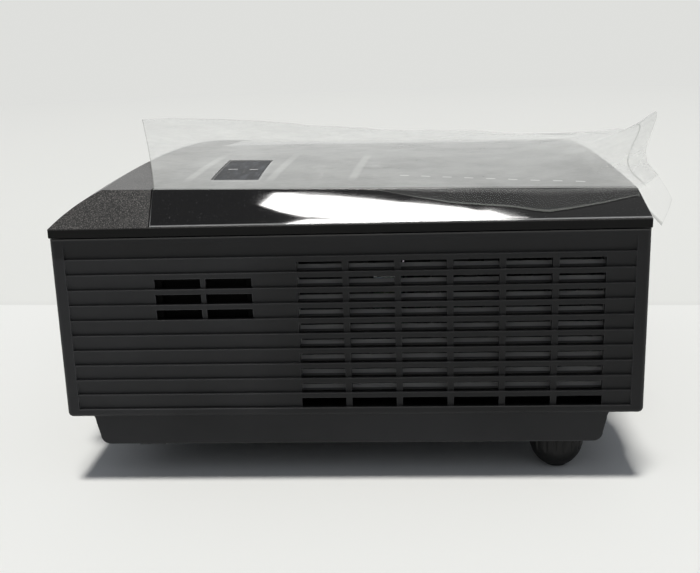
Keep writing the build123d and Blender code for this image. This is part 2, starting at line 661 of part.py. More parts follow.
def front_bezel():
    plate = opening_plate(FRONT_OPENING, -SEAT, (LEFT, LEFT + WALL))
    plate += opening_plate(FRONT_OPENING, 3, (LEFT + WALL, LEFT + WALL + BEZEL_FLANGE))
    bore_r = RING_R + 1.5
    plate -= rod("x", (LENS_Y, LENS_Z), bore_r, (LEFT - 1, LEFT + WALL + BEZEL_FLANGE + 1))
    flare = Pos(LEFT, LENS_Y, LENS_Z) * Rot(0, 90, 0) * Cone(bore_r + 4, bore_r, 3)
    plate -= Pos(1.4, 0, 0) * flare
    plate -= rod("x", IR_SPOT, IR_R + SEAT, (LEFT - 1, LEFT + WALL + BEZEL_FLANGE + 1))
    for i in range(14):
        y = 34.0 + 5.4 * i
        plate -= block((LEFT - 1, LEFT + WALL + 3), (y, y + 2.6), (52, 99))
    return plate


def ir_window():
    return rod("x", IR_SPOT, IR_R, (LEFT + 0.4, LEFT + WALL + BEZEL_FLANGE))


RING_X = (LEFT - RING_FRONT, LEFT - RING_FRONT + RING_LENGTH)
BARREL_FRONT = RING_X[0] + 14.0
CELL_R = BARREL_R - BARREL_WALL
CELL_BORE = CELL_R - 3.0
CELL_X = (RING_X[0] + 2 + CELL_TRAVEL / 2, RING_X[0] + 36.0)
GLASS_FRONT = CELL_X[0] + 4.0


def lens_barrel():
    barrel = tube("x", (LENS_Y, LENS_Z), BARREL_R, CELL_R + RUNNING, (BARREL_FRONT, BARREL_BACK))
    flange = tube("x", (LENS_Y, LENS_Z), BARREL_R + 4, CELL_R - 4, (BARREL_BACK - 4, BARREL_BACK))
    return barrel + flange


def focus_ring():
    centre = (LENS_Y, LENS_Z)
    ring = rod("x", centre, RING_R, RING_X)
    ring -= rod("x", centre, BARREL_R + RUNNING, (RING_X[0] + 3, RING_X[1] + 1))
    ring -= rod("x", centre, CELL_R + 1, (RING_X[0] - 1, RING_X[1]))
    for i in range(RING_FLUTES):
        angle = 2 * math.pi * i / RING_FLUTES
        spot = (LENS_Y + (RING_R + 0.3) * math.cos(angle), LENS_Z + (RING_R + 0.3) * math.sin(angle))
        ring -= rod("x", spot, 1.0, (RING_X[0] + 2, RING_X[1] + 1))
    return ring


def lens_cell():
    cell = tube("x", (LENS_Y, LENS_Z), CELL_R, CELL_BORE, CELL_X)
    return cell + tube("x", (LENS_Y, LENS_Z), CELL_R - 1, CELL_BORE - 2, (GLASS_FRONT + 9, GLASS_FRONT + 11))


def lens_glass(front, radius, thick, bulge):
    """Biconvex lens with its front pole at front."""
    edge = thick / 2 - bulge
    middle = front + thick / 2
    left_arc = ThreePointArc((middle - edge, radius), (middle - thick / 2, 0), (middle - edge, -radius))
    right_arc = ThreePointArc((middle + edge, -radius), (middle + thick / 2, 0), (middle + edge, radius))
    outline = make_face(
        left_arc + right_arc
        + Line((middle - edge, radius), (middle + edge, radius))
        + Line((middle - edge, -radius), (middle + edge, -radius)))
    half = outline & (Pos(middle, radius) * Rectangle(4 * thick, 2 * radius))
    return Pos(0, LENS_Y, LENS_Z) * revolve(half, Axis.X)


def front_lens():
    return lens_glass(GLASS_FRONT, CELL_BORE - RUNNING, 9.0, 3.0)


def rear_lens():
    return lens_glass(BARREL_BACK - 16, CELL_R - RUNNING, 10.0, 3.0)


# ---------------------------------------------------------------- light path
def optical_casting():
    y = around(LENS_Y, CASTING_HALF)
    body = block(CASTING_X, y, CASTING_Z)
    body = fillet(body.edges().filter_by(Axis.X), 4)
    body -= rod("x", (LENS_Y, LENS_Z), 16, (CASTING_X[0] - 1, -14))
    body -= block((CASTING_X[0] + 12, -14), around(LENS_Y, 14), (LENS_Z, CASTING_Z[1] + 1))
    seat = (around(LENS_Y, TUNNEL_HALF[0] + RUNNING), around(LENS_Z, TUNNEL_HALF[1] + RUNNING))
    body -= block((-16, CASTING_X[1] + 1), *seat)
    for z in (56.0, 64.0, 88.0, 96.0):
        body -= block((CASTING_X[0] + 8, CASTING_X[1] - 8), (y[0] - 1, y[0] + 2), (z, z + 3))
    return body


def chip_board():
    board = block((-56, -2), around(LENS_Y, 26), (CASTING_Z[1], CASTING_Z[1] + BOARD_THICK))
    return board + block((-40, -20), around(LENS_Y, 8), (CASTING_Z[1] - 3, CASTING_Z[1]))


def chip_heat_sink():
    base_z = CASTING_Z[1] + BOARD_THICK
    sink = block((-46, -14), around(LENS_Y, 16), (base_z, base_z + 3))
    for i in range(6):
        y = LENS_Y - 15 + 5.6 * i
        sink += block((-46, -14), (y, y + 1.6), (base_z + 3, base_z + 9))
    return sink


def light_tunnel():
    x = (CASTING_X[1] - 12, WHEEL_X - 4)
    body = block(x, around(LENS_Y, TUNNEL_HALF[0]), around(LENS_Z, TUNNEL_HALF[1]))
    bore = (around(LENS_Y, TUNNEL_HALF[0] - 1), around(LENS_Z, TUNNEL_HALF[1] - 1))
    return body - block((x[0] - 1, x[1] + 1), *bore)


def relay_optics():
    return [rear_lens(), light_tunnel()]


WHEEL_Z = LENS_Z + WHEEL_LIFT


def colour_wheel():
    centre = (LENS_Y, WHEEL_Z)
    disc = rod("x", centre, WHEEL_R, (WHEEL_X, WHEEL_X + 0.8))
    hub = rod("x", centre, 8, (WHEEL_X - 1.4, WHEEL_X + 1.6))
    return disc + hub + rod("x", centre, 1.5, (WHEEL_X, WHEEL_X + 8))


def wheel_motor():
    """Wheel motor on its angle bracket, with a hole for the light."""
    x = (WHEEL_X + 12, WHEEL_X + 14)
    body = block(x, around(LENS_Y, 15), (FLOOR_Z, WHEEL_Z + 12))
    body -= rod("x", (LENS_Y, LENS_Z), 5.5, (x[0] - 1, x[1] + 1))
    body += block((x[0], x[1] + 12), around(LENS_Y, 15), (FLOOR_Z, FLOOR_Z + 2))
    can = (WHEEL_X + 1.9, x[0])
    body += rod("x", (LENS_Y, WHEEL_Z), 10, can)
    return body - rod("x", (LENS_Y, WHEEL_Z), 1.5 + RUNNING, (can[0] - 1, can[0] + 7))


def lamp_housing():
    y = around(LENS_Y, LAMP_HALF)
    wall = 2.5
    low = CASE_Z - 2
    body = block(LAMP_X, y, (low, LAMP_TOP))
    inner_y = (y[0] + wall, y[1] - wall)
    body -= block((LAMP_X[0] + wall, LAMP_X[1] - wall), inner_y, (FLOOR_Z + 6, LAMP_TOP - wall))
    body -= rod("x", (LENS_Y, LENS_Z), 22, (LAMP_X[0] - 1, LAMP_X[0] + wall + 1))
    for i in range(6):
        x = LAMP_X[0] + 6 + 7 * i
        body -= block((x, x + 3.6), (y[0] - 1, y[1] + 1), (LENS_Z - 22, LENS_Z + 22))
    flange_y = (y[0] - 4, y[1] + 4)
    return body + block((LAMP_X[0] - 4, LAMP_X[1] + 4), flange_y, (low, CASE_Z))


def lamp_reflector():
    front = LAMP_X[0] + 2.5
    bowl = ThreePointArc((front, 24.0), (front + 20, 19.0), (front + 32, 7.0))
    inner = ThreePointArc((front + 30, 4.8), (front + 19, 16.6), (front, 21.6))
    outline = make_face(
        bowl + Line((front + 32, 7.0), (front + 40, 7.0)) + Line((front + 40, 7.0), (front + 40, 4.8))
        + Line((front + 40, 4.8), (front + 30, 4.8)) + inner + Line((front, 21.6), (front, 24.0)))
    rim = tube("x", (0, 0), 26, 22, (front, front + 3))
    return Pos(0, LENS_Y, LENS_Z) * (revolve(outline, Axis.X) + rim)


def lamp():
    """Reflector with the burner cemented in its neck."""
    return [lamp_reflector(), lamp_burner()]


def lamp_burner():
    front = LAMP_X[0] + 2.5
    tail = rod("x", (LENS_Y, LENS_Z), 4.7, (front + 22, front + 42))
    stem = rod("x", (LENS_Y, LENS_Z), 2.2, (front + 4, front + 22))
    return tail + stem + Pos(front + 15, LENS_Y, LENS_Z) * Sphere(5)


# ---------------------------------------------------------------- fan and vent baffle
def fan_frame():
    x = around(FAN_X, FAN_SIZE / 2)
    z = around(FAN_Z, FAN_SIZE / 2)
    y = (FAN_BACK - FAN_DEPTH, FAN_BACK)
    frame = block(x, y, z)
    frame = fillet(frame.edges().filter_by(Axis.Y), 4)
    bore_r = FAN_SIZE / 2 - 2
    frame -= rod("y", (FAN_X, FAN_Z), bore_r, (y[0] - 1, y[1] + 1))
    frame += rod("y", (FAN_X, FAN_Z), 13, (y[1] - 2.5, y[1]))
    for angle in (45, 135):
        arm = Pos(FAN_X, y[1] - 1.25, FAN_Z) * Rot(0, angle, 0) * Box(2 * bore_r + 1, 2.5, 4)
        frame += arm
    return frame - rod("y", (FAN_X, FAN_Z), 2 + RUNNING, (y[1] - 4, y[1] + 1))


def fan_rotor():
    y = (FAN_BACK - FAN_DEPTH + 1, FAN_BACK - 3)
    rotor = rod("y", (0, 0), 13, y) - rod("y", (0, 0), 11, (y[0] + 1.5, y[1] + 1))
    rotor += rod("y", (0, 0), 2, (y[0], FAN_BACK - 0.3))
    tip = FAN_SIZE / 2 - 3
    blade_length = tip - 12
    for i in range(FAN_BLADES):
        blade = Pos(12 + blade_length / 2, (y[0] + y[1]) / 2, 0) * Rot(38, 0, 0) * Box(blade_length, 1.4, 12)
        rotor += Rot(0, 360 / FAN_BLADES * i, 0) * blade
    rotor &= rod("y", (0, 0), tip, (y[0], FAN_BACK))
    return Pos(FAN_X, 0, FAN_Z) * rotor


BAFFLE_X = (LEFT + VENT_START - 2, LEFT + VENT_START + VENT_PITCH * VENT_COLUMNS)
BAFFLE_DEPTH = 6.5
BLADE = (1.1, 2.9)        # thickness and width of its slats
BLADE_TILT = 28.0


def vent_baffle():
    """Pale louvred frame that fills the large vent from inside."""
    y = (SCREEN_SIDE, SCREEN_SIDE + BAFFLE_DEPTH)
    z = (ledge_z(LOUVRES - 1) - 3.4, ledge_z(1) + 1)
    frame = block(BAFFLE_X, y, z)
    frame -= block((BAFFLE_X[0] + 2, BAFFLE_X[1] - 2), (y[0] - 1, y[1] + 1), (z[0] + 2, z[1] - 2))
    middle = (BAFFLE_X[0] + BAFFLE_X[1]) / 2
    span = BAFFLE_X[1] - BAFFLE_X[0] - 2
    for band in range(2, LOUVRES):
        slat = Rot(-BLADE_TILT, 0, 0) * Box(span, *BLADE)
        frame += Pos(middle, y[0] + 3.2, ledge_z(band) + 0.6) * slat
    for column in range(1, VENT_COLUMNS):
        x = LEFT + VENT_START + VENT_PITCH * column - (VENT_PITCH - VENT_WINDOW) / 2
        frame += block(around(x, 0.8), (y[0] + 1, y[1]), z)
    return frame


# ---------------------------------------------------------------- disc loader
def gear_points(teeth, flank_steps=3):
    """Involute gear outline with a tooth space on the -X side."""
    base_r = PITCH_R * math.cos(math.radians(PRESSURE))
    tip_r = PITCH_R + MODULE
    root_r = PITCH_R - 1.25 * MODULE
    half = math.pi / (2 * teeth) - BACKLASH / (4 * PITCH_R)
    roll = math.tan(math.radians(PRESSURE)) - math.radians(PRESSURE)
    flank = [(root_r, half + roll)]
    for step in range(flank_steps + 1):
        radius = base_r + (tip_r - base_r) * step / flank_steps
        turn = math.acos(min(1.0, base_r / radius))
        flank.append((radius, half + roll - (math.tan(turn) - turn)))
    points = []
    for tooth in range(teeth):
        middle = math.pi + 2 * math.pi * (tooth + 0.5) / teeth
        for radius, angle in flank:
            points.append((radius * math.cos(middle - angle), radius * math.sin(middle - angle)))
        for radius, angle in reversed(flank):
            points.append((radius * math.cos(middle + angle), radius * math.sin(middle + angle)))
    return points


def tray_pinion():
    outline = make_face(Polyline(*gear_points(PINION_TEETH), close=True))
    gear = Pos(PINION_X, PINION_Y, TRAY_Z - RACK_DEPTH) * extrude(outline, RACK_DEPTH - SLIP)
    return gear + rod("z", (PINION_X, PINION_Y), 2, (LOADER_FLOOR_Z - 4, TRAY_Z - RACK_DEPTH))


def rack():
    """Rack under the tray, its teeth towards +X, in mesh with the pinion at rest."""
    pitch = math.pi * MODULE
    slope = math.tan(math.radians(PRESSURE))
    half = pitch / 4 - BACKLASH / 4
    root = RACK_X - 1.25 * MODULE
    tip = RACK_X + MODULE
    first = math.ceil((TRAY_BACK + 5 - PINION_Y) / pitch)
    last = math.floor((TRAY_FRONT - 8 - PINION_Y) / pitch)
    points = [(root - 3, PINION_Y + first * pitch - pitch / 2)]
    points.append((root, points[0][1]))
    for k in range(first, last + 1):
        y = PINION_Y + k * pitch
        wide = half + 1.25 * MODULE * slope
        narrow = half - MODULE * slope
        points += [(root, y - wide), (tip, y - narrow), (tip, y + narrow), (root, y + wide)]
    end = PINION_Y + last * pitch + pitch / 2
    points += [(root, end), (root - 3, end)]
    return Pos(0, 0, TRAY_Z - RACK_DEPTH) * extrude(make_face(Polyline(*points, close=True)), RACK_DEPTH)


def disc_tray():
    x = around(LOADER_X, LOADER_WIDTH / 2 - LOADER_WALL - 0.5)
    tray = block(x, (TRAY_BACK, TRAY_FRONT), (TRAY_Z, TRAY_Z + TRAY_THICK))
    tray += rack()
    top = TRAY_Z + TRAY_THICK
    centre = (LOADER_X, DISC_Y)
    tray -= rod("z", centre, DISC_R + 0.75, (top - WELL_DEPTH + 1, top + 1))
    tray -= rod("z", centre, 41.0, (top - WELL_DEPTH, top + 1))
    tray -= rod("z", centre, 22.0, (TRAY_Z - 1, top + 1))
    tray -= block(around(LOADER_X, 22.0), (-6.0, DISC_Y), (TRAY_Z - 1, top + 1))
    for side in (-1, 1):
        notch = Pos(LOADER_X + side * (DISC_R + 2), DISC_Y, 0)
        tray -= notch * rod("z", (0, 0), 8, (top - WELL_DEPTH + 1, top + 1))
    return tray


def tray_bezel():
    y = (TRAY_FRONT, FAR)
    plate = block(around(LOADER_X, BEZEL_WIDTH / 2), y, TRAY_BEZEL_Z)
    plate = fillet(plate.faces().sort_by(Axis.Y)[-1].edges(), 1.2)
    return plate


def loader_chassis():
    x = around(LOADER_X, LOADER_WIDTH / 2)
    y = (LOADER_BACK, LOADER_FRONT)
    top = LOADER_FLOOR_Z + LOADER_HEIGHT
    body = block(x, y, (LOADER_FLOOR_Z, top))
    inner = (x[0] + LOADER_WALL, x[1] - LOADER_WALL)
    body -= block(inner, (y[0] + LOADER_WALL, y[1] + 1), (LOADER_FLOOR_Z + 2, top + 1))
    body -= block(around(LOADER_X, TRAVERSE_HALF + 2), (-24, 94), (LOADER_FLOOR_Z - 1, LOADER_FLOOR_Z + 3))
    back_cut = (around(LOADER_X, LOADER_WIDTH / 2 - 15), (y[0] - 1, y[0] + LOADER_WALL + 1), (TRAY_Z - 4, top + 1))
    body -= block(*back_cut)
    for side in (-1, 1):
        wall = LOADER_X + side * (LOADER_WIDTH / 2 - LOADER_WALL)
        shelf = sorted((wall, wall - side * 4))
        body += block(shelf, y, (TRAY_Z - 3, TRAY_Z - SLIP))
        for start in (-20, 104):
            tab = (TRAY_Z + TRAY_THICK + SLIP, TRAY_Z + TRAY_THICK + 2)
            body += block(sorted((wall, wall - side * 3)), (start, start + 22), tab)
        ear = sorted((LOADER_X + side * (TRAVERSE_HALF + 2.5), LOADER_X + side * (TRAVERSE_HALF + 6.5)))
        ear_y = around(TRAVERSE_PIVOT[0], 5)
        body += block(ear, ear_y, (LOADER_FLOOR_Z + 2, TRAVERSE_PIVOT[1] + 5))
        body -= rod("x", TRAVERSE_PIVOT, 2 + RUNNING, (ear[0] - 1, ear[1] + 1))
    boss_top = TRAY_Z - RACK_DEPTH - SLIP
    body += rod("z", (PINION_X, PINION_Y), 4.5, (LOADER_FLOOR_Z, boss_top))
    return body - rod("z", (PINION_X, PINION_Y), 2 + RUNNING, (LOADER_FLOOR_Z - 1, boss_top + 1))


def tray_motor():
    can = rod("z", (PINION_X, PINION_Y), 12, (LOADER_FLOOR_Z - 18, LOADER_FLOOR_Z))
    return can - rod("z", (PINION_X, PINION_Y), 2 + RUNNING, (LOADER_FLOOR_Z - 5, LOADER_FLOOR_Z + 1))


TRAVERSE_Z = (78.0, 80.0)
TRAVERSE_Y = (-32.0, 90.0)
ROD_Z = 84.0
ROD_OFFSET = 24.0
SLED_Y = (17.0, 41.0)
ROD_Y = (SLED_Y[0] - SLED_TRAVEL - 5, SLED_Y[1] + 6)
PICKUP_TOP = 91.4         # top of the sled's lens housing, traverse raised
TABLE_THICK = 3.0
SCREW_OFFSET = 30.0
SCREW_Z = 83.6
FEED_R = 1.5
FEED_MOTOR_Y = (47.5, 58.0)


def lowered(shapes):
    """Pieces of the level traverse, turned down about its pivot to where they rest."""
    pivot = Pos(0, *TRAVERSE_PIVOT)
    turn = pivot * Rot(-TRAVERSE_TILT, 0, 0) * pivot.inverse()
    return [turn * shape for shape in shapes]


def traverse():
    """Pivoting frame that carries the spindle motor, rods and feed motor."""
    plate = block(around(LOADER_X, TRAVERSE_HALF), TRAVERSE_Y, TRAVERSE_Z)
    plate -= block(around(LOADER_X, 16), (-20, 44), (TRAVERSE_Z[0] - 1, TRAVERSE_Z[1] + 1))
    plate += rod("x", TRAVERSE_PIVOT, 2, around(LOADER_X, TRAVERSE_HALF + 6))
    for side in (-1, 1):
        for y in (ROD_Y[0], ROD_Y[1] - 3):
            rest = (around(LOADER_X + side * ROD_OFFSET, 2.5), (y, y + 3), (TRAVERSE_Z[1], ROD_Z + 2.5))
            plate += block(*rest)
        plate -= rod("y", (LOADER_X + side * ROD_OFFSET, ROD_Z), ROD_R, (ROD_Y[0] - 1, ROD_Y[1] + 1))
    screw_x = LOADER_X + SCREW_OFFSET
    plate += block(around(screw_x, 2.5), (ROD_Y[0], ROD_Y[0] + 3), (TRAVERSE_Z[1], SCREW_Z + 2.5))
    return plate - rod("y", (screw_x, SCREW_Z), FEED_R + RUNNING, (ROD_Y[0] - 1, ROD_Y[0] + 4))


def guide_rods():
    return [rod("y", (LOADER_X + side * ROD_OFFSET, ROD_Z), ROD_R, ROD_Y) for side in (-1, 1)]


def traverse_motors():
    return [spindle_motor(), feed_motor()]


def spindle_motor():
    z = (TRAVERSE_Z[1], DISC_Z - TABLE_THICK - SLIP)
    can = rod("z", (LOADER_X, DISC_Y), 13, z)
    return can - rod("z", (LOADER_X, DISC_Y), 1.5 + RUNNING, (z[1] - 5, z[1] + 1))


def turntable():
    low = DISC_Z - TABLE_THICK
    centre = (LOADER_X, DISC_Y)
    table = rod("z", centre, SPINDLE_R, (low, DISC_Z))
    table += Pos(LOADER_X, DISC_Y, DISC_Z + 0.9) * Cone(7.4, 6.4, 1.8)
    return table + rod("z", centre, 1.5, (low - 4, low))


def pickup_sled():
    z = (TRAVERSE_Z[1] + 0.6, ROD_Z + 3)
    sled = block(around(LOADER_X, ROD_OFFSET + 2.5), SLED_Y, z)
    sled += block((LOADER_X + ROD_OFFSET, LOADER_X + SCREW_OFFSET + 3), around(29, 5), z)
    lens_y = SLED_Y[1] - 8
    sled += block(around(LOADER_X, 9), around(lens_y, 7), (z[1], PICKUP_TOP))
    sled += rod("z", (LOADER_X, lens_y), 4, (PICKUP_TOP, PICKUP_TOP + 1.8))
    for side in (-1, 1):
        bore = (LOADER_X + side * ROD_OFFSET, ROD_Z)
        sled -= rod("y", bore, ROD_R + RUNNING, (SLED_Y[0] - 1, SLED_Y[1] + 1))
    return sled - rod("y", (LOADER_X + SCREW_OFFSET, SCREW_Z), FEED_R + RUNNING, SLED_Y)


def feed_screw():
    return rod("y", (LOADER_X + SCREW_OFFSET, SCREW_Z), FEED_R, (ROD_Y[0], FEED_MOTOR_Y[0] + 6))


def feed_motor():
    spot = (LOADER_X + SCREW_OFFSET, SCREW_Z)
    can = rod("y", spot, SCREW_Z - TRAVERSE_Z[1], FEED_MOTOR_Y)
    return can - rod("y", spot, FEED_R + RUNNING, (FEED_MOTOR_Y[0] - 1, FEED_MOTOR_Y[0] + 7))


BRIDGE_Z = (LOADER_FLOOR_Z + LOADER_HEIGHT, LOADER_FLOOR_Z + LOADER_HEIGHT + 2)
PUCK_R = 14.5
PUCK_NECK = 11.5


def clamp_bridge():
    plate = block(around(LOADER_X, LOADER_WIDTH / 2), around(DISC_Y, 20), BRIDGE_Z)
    return plate - rod("z", (LOADER_X, DISC_Y), PUCK_NECK + 0.5, (BRIDGE_Z[0] - 1, BRIDGE_Z[1] + 1))


def clamp_puck():
    centre = (LOADER_X, DISC_Y)
    face_z = DISC_Z + DISC_THICK + PUCK_GAP
    puck = rod("z", centre, PUCK_R, (face_z, face_z + 2.5))
    puck += rod("z", centre, PUCK_NECK, (face_z, BRIDGE_Z[1] + SLIP))
    puck += rod("z", centre, PUCK_R, (BRIDGE_Z[1] + SLIP, BRIDGE_Z[1] + 2))
    return puck - rod("z", centre, 7.8, (face_z - 1, face_z + 2))


# ---------------------------------------------------------------- boards and speakers
def board(name, parts):
    """Circuit board with the larger components as blocks: x, y, size, height."""
    (x0, x1), (y0, y1), z = BOARDS[name]
    body = block((x0, x1), (y0, y1), (z, z + BOARD_THICK))
    top = z + BOARD_THICK
    for x, y, size_x, size_y, height in parts:
        body += block(around(x, size_x / 2), around(y, size_y / 2), (top, top + height))
    return body


def power_boards():
    """Mains supply and lamp driver."""
    return [power_supply(), lamp_driver()]


def power_supply():
    body = board("power_supply", [(-2, 10, 30, 26, 22), (-18, 48, 12, 30, 20), (10, 92, 22, 16, 10)])
    top = BOARDS["power_supply"][2] + BOARD_THICK
    for y in (46, 66):
        body += rod("z", (12, y), 8, (top, top + 26))
    return body


def main_board():
    chips = [(60, 60, 30, 30, 2), (60, 20, 14, 20, 1.5), (82, 20, 14, 20, 1.5), (50, 98, 22, 12, 8)]
    return board("main_board", chips)


def lamp_driver():
    return board("lamp_driver", [(-92, 6, 26, 24, 16), (-76, 42, 12, 20, 12), (-106, 42, 14, 14, 14)])


SPEAKER_Z = (73.0, 101.0)


def speakers():
    near_x = LEFT + PORT_START + PORT_WINDOW + PORT_GAP / 2
    far_x = LEFT + FAR_PORT_START + PORT_WINDOW + PORT_GAP / 2
    return [speaker(near_x, SCREEN_SIDE, 1), speaker(far_x, -SCREEN_SIDE, -1)]


def speaker(centre_x, wall_y, inward):
    """Oval speaker against a side wall; inward is +1 or -1 along Y."""
    def slab(near, far, grow):
        ys = sorted((wall_y + inward * near, wall_y + inward * far))
        return block(around(centre_x, 24 - grow), ys, (SPEAKER_Z[0] + grow, SPEAKER_Z[1] - grow))
    middle = (SPEAKER_Z[0] + SPEAKER_Z[1]) / 2
    body = slab(0, 2, 0) + slab(2, 9, 3)
    magnet = sorted((wall_y + inward * 9, wall_y + inward * 18))
    body += rod("y", (centre_x, middle), 10, magnet)
    return body - slab(-1, 3, 5)


# ---------------------------------------------------------------- rear panel and sockets
POWER_Y = -98.0
INLET_Z = 60.0
SWITCH_Z = 90.0
SOCKET_Z = BOARDS["main_board"][2] + BOARD_THICK
VGA_Y = 8.0
SLOT_SOCKETS = ((36.0, 7.2, 4.6), (56.0, 6.4, 5.4))     # middle, half width, height
SLOT_LIFT = 1.2
SLOT_SHELL = 0.5
RCA_Y = (74.0, 88.0, 102.0)
JACK_Y = -12.0
RCA_Z = SOCKET_Z + 7.0


def rear_panel():
    x = (RIGHT - WALL, RIGHT)
    plate = opening_plate(REAR_OPENING, -SEAT, x)
    plate += opening_plate(REAR_OPENING, 3, (x[0] - BEZEL_FLANGE, x[0]))
    deep = (x[0] - BEZEL_FLANGE - 1, RIGHT + 1)
    plate -= block(deep, around(POWER_Y, 14), around(INLET_Z, 10.5))
    plate -= block(deep, around(POWER_Y, 7), around(SWITCH_Z, 10))
    plate -= block(deep, around(VGA_Y, 16), (SOCKET_Z + 0.5, SOCKET_Z + 12.5))
    for y, half, height in SLOT_SOCKETS:
        hole_z = (SOCKET_Z + SLOT_LIFT - SLIP, SOCKET_Z + SLOT_LIFT + height + 2 * SLOT_SHELL + SLIP)
        plate -= block(deep, around(y, half + SLOT_SHELL + SLIP), hole_z)
    for y in RCA_Y:
        plate -= rod("x", (y, RCA_Z), 4.8, deep)
    plate -= rod("x", (JACK_Y, SOCKET_Z + 5), 3.8, deep)
    for i in range(12):
        y = -76.0 + 5.0 * i
        plate -= block(deep, (y, y + 2.5), (56, 98))
    return plate


def power_inlet():
    """Three-pin mains inlet in its flange."""
    flange = block((RIGHT, RIGHT + 2), around(POWER_Y, 16), around(INLET_Z, 13))
    body = flange + block((RIGHT - 18, RIGHT), around(POWER_Y, 13.6), around(INLET_Z, 10.1))
    back = RIGHT - 14
    body -= block((back, RIGHT + 3), around(POWER_Y, 12.2), around(INLET_Z, 8.2))
    for y, z in ((-7, 0), (7, 0), (0, 4)):
        body += block((back - 1, back + 11), around(POWER_Y + y, 1), around(INLET_Z + z, 2))
    return body


ROCKER_PIVOT_X = RIGHT - 3.0
ROCKER_TILT = 10.0


def switch_frame():
    flange = block((RIGHT, RIGHT + 1.5), around(POWER_Y, 9), around(SWITCH_Z, 12))
    body = flange + block((RIGHT - 14, RIGHT), around(POWER_Y, 6.7), around(SWITCH_Z, 9.7))
    body -= block((RIGHT - 9, RIGHT + 2), around(POWER_Y, 5.3), around(SWITCH_Z, 8.4))
    return body - rod("y", (ROCKER_PIVOT_X, SWITCH_Z), 1.2 + RUNNING, around(POWER_Y, 6.4))


def rocker():
    """Rocker tipped to its off side about a pin along Y."""
    bar = Box(4.0, 9.6, 15.0)
    dome = Pos(-7.5, 0, 0) * Rot(90, 0, 0) * Cylinder(10.6, 9.6)
    crest = Pos(2, 0, 0) * (dome & Pos(1.2, 0, 0) * Box(2.4, 9.6, 15.0))
    body = bar + crest + Rot(90, 0, 0) * Cylinder(1.2, 12.4)
    return Pos(ROCKER_PIVOT_X, POWER_Y, SWITCH_Z) * Rot(0, ROCKER_TILT, 0) * body


def vga_socket():
    y = around(VGA_Y, 15)
    body = block((RIGHT - 16, RIGHT - 5), y, (SOCKET_Z, SOCKET_Z + 12))
    shell = block((RIGHT - 5, RIGHT + 1.5), around(VGA_Y, 8.3), (SOCKET_Z + 2, SOCKET_Z + 10))
    body += shell
    for row, count in enumerate((5, 5, 5)):
        for i in range(count):
            spot = (VGA_Y - 4.6 + 2.3 * i, SOCKET_Z + 4 + 2 * row)
            body -= rod("x", spot, 0.5, (RIGHT - 1, RIGHT + 2))
    return body


def slot_socket(middle, half, height):
    """Metal-shelled socket with its contact tongue."""
    low = SOCKET_Z + SLOT_LIFT
    inside_z = (low + SLOT_SHELL, low + SLOT_SHELL + height)
    body = block((RIGHT - 16, RIGHT + 0.6), around(middle, half + SLOT_SHELL), (low, inside_z[1] + SLOT_SHELL))
    body += block((RIGHT - 16, RIGHT - 6), around(middle, half), (SOCKET_Z, low))
    body -= block((RIGHT - 10, RIGHT + 1), around(middle, half), inside_z)
    tongue = around((inside_z[0] + inside_z[1]) / 2, 0.8)
    return body + block((RIGHT - 11, RIGHT - 0.5), around(middle, half - 1), tongue)


def video_sockets():
    """Analogue video, digital video and memory-stick sockets."""
    return [vga_socket()] + [slot_socket(*sizes) for sizes in SLOT_SOCKETS]


def sound_sockets():
    """Three phono sockets and an audio jack."""
    sockets = [audio_jack()]
    for y in RCA_Y:
        base = block((RIGHT - 15, RIGHT - 5), around(y, 5.5), (SOCKET_Z, RCA_Z + 5))
        base += tube("x", (y, RCA_Z), 4.3, 3.2, (RIGHT - 5, RIGHT + 6))
        sockets.append(base + tube("x", (y, RCA_Z), 3.2, 1.6, (RIGHT - 5, RIGHT + 1)))
    return sockets


def audio_jack():
    body = block((RIGHT - 16, RIGHT - 5), around(JACK_Y, 4.5), (SOCKET_Z, SOCKET_Z + 9))
    body += rod("x", (JACK_Y, SOCKET_Z + 5), 3.4, (RIGHT - 5, RIGHT + 1))
    return body - rod("x", (JACK_Y, SOCKET_Z + 5), 1.8, (RIGHT - 10, RIGHT + 2))


# ---------------------------------------------------------------- eject key
def eject_key():
    key_y = (EJECT_BOARD_Y + BOARD_THICK + 2.6, FAR + KEY_STANDS)
    body = rod("y", (EJECT_X, EJECT_Z), EJECT_R, key_y)
    flange = rod("y", (EJECT_X, EJECT_Z), EJECT_R + 1.2, (key_y[0], key_y[0] + 1.2))
    return body + flange


def eject_board():
    board_z = around(EJECT_Z, EJECT_BOARD_HALF)
    plate = block(around(EJECT_X, 4), (EJECT_BOARD_Y, EJECT_BOARD_Y + BOARD_THICK), board_z)
    plunger = (EJECT_BOARD_Y + BOARD_THICK, EJECT_BOARD_Y + BOARD_THICK + 1.9)
    return plate + rod("y", (EJECT_X, EJECT_Z), 2.2, plunger)


# ---------------------------------------------------------------- protective film
def film_stations():
    """Rows across the film: y, then places along it as x and height above the top."""
    return [
        (NEAR + FACET_RUN + 1, ((-84, 0.2), (-40, 0), (20, 0), (80, 0), (112, 0), (126, 2.0))),
        (-100, ((-92, 0.4), (-50, 0), (20, 0), (80, 0), (112, 2.2), (132, 7.5))),
        (-60, ((-103, 0.8), (-60, 0), (20, 0), (80, 0), (115, 4.5), (144, 13.5))),
        (-20, ((-114, 2.0), (-70, 0), (20, 0), (80, 0.2), (115, 4.0), (146, 9.5))),
        (30, ((-128, 5.7), (-85, 1.5), (-30, 0), (80, 0.5), (115, 2.5), (143, 5.0))),
        (95, ((-146, 13.4), (-85, 9.0), (-10, 6.5), (55, 4.2), (108, 2.0), (131, 1.2))),
    ]


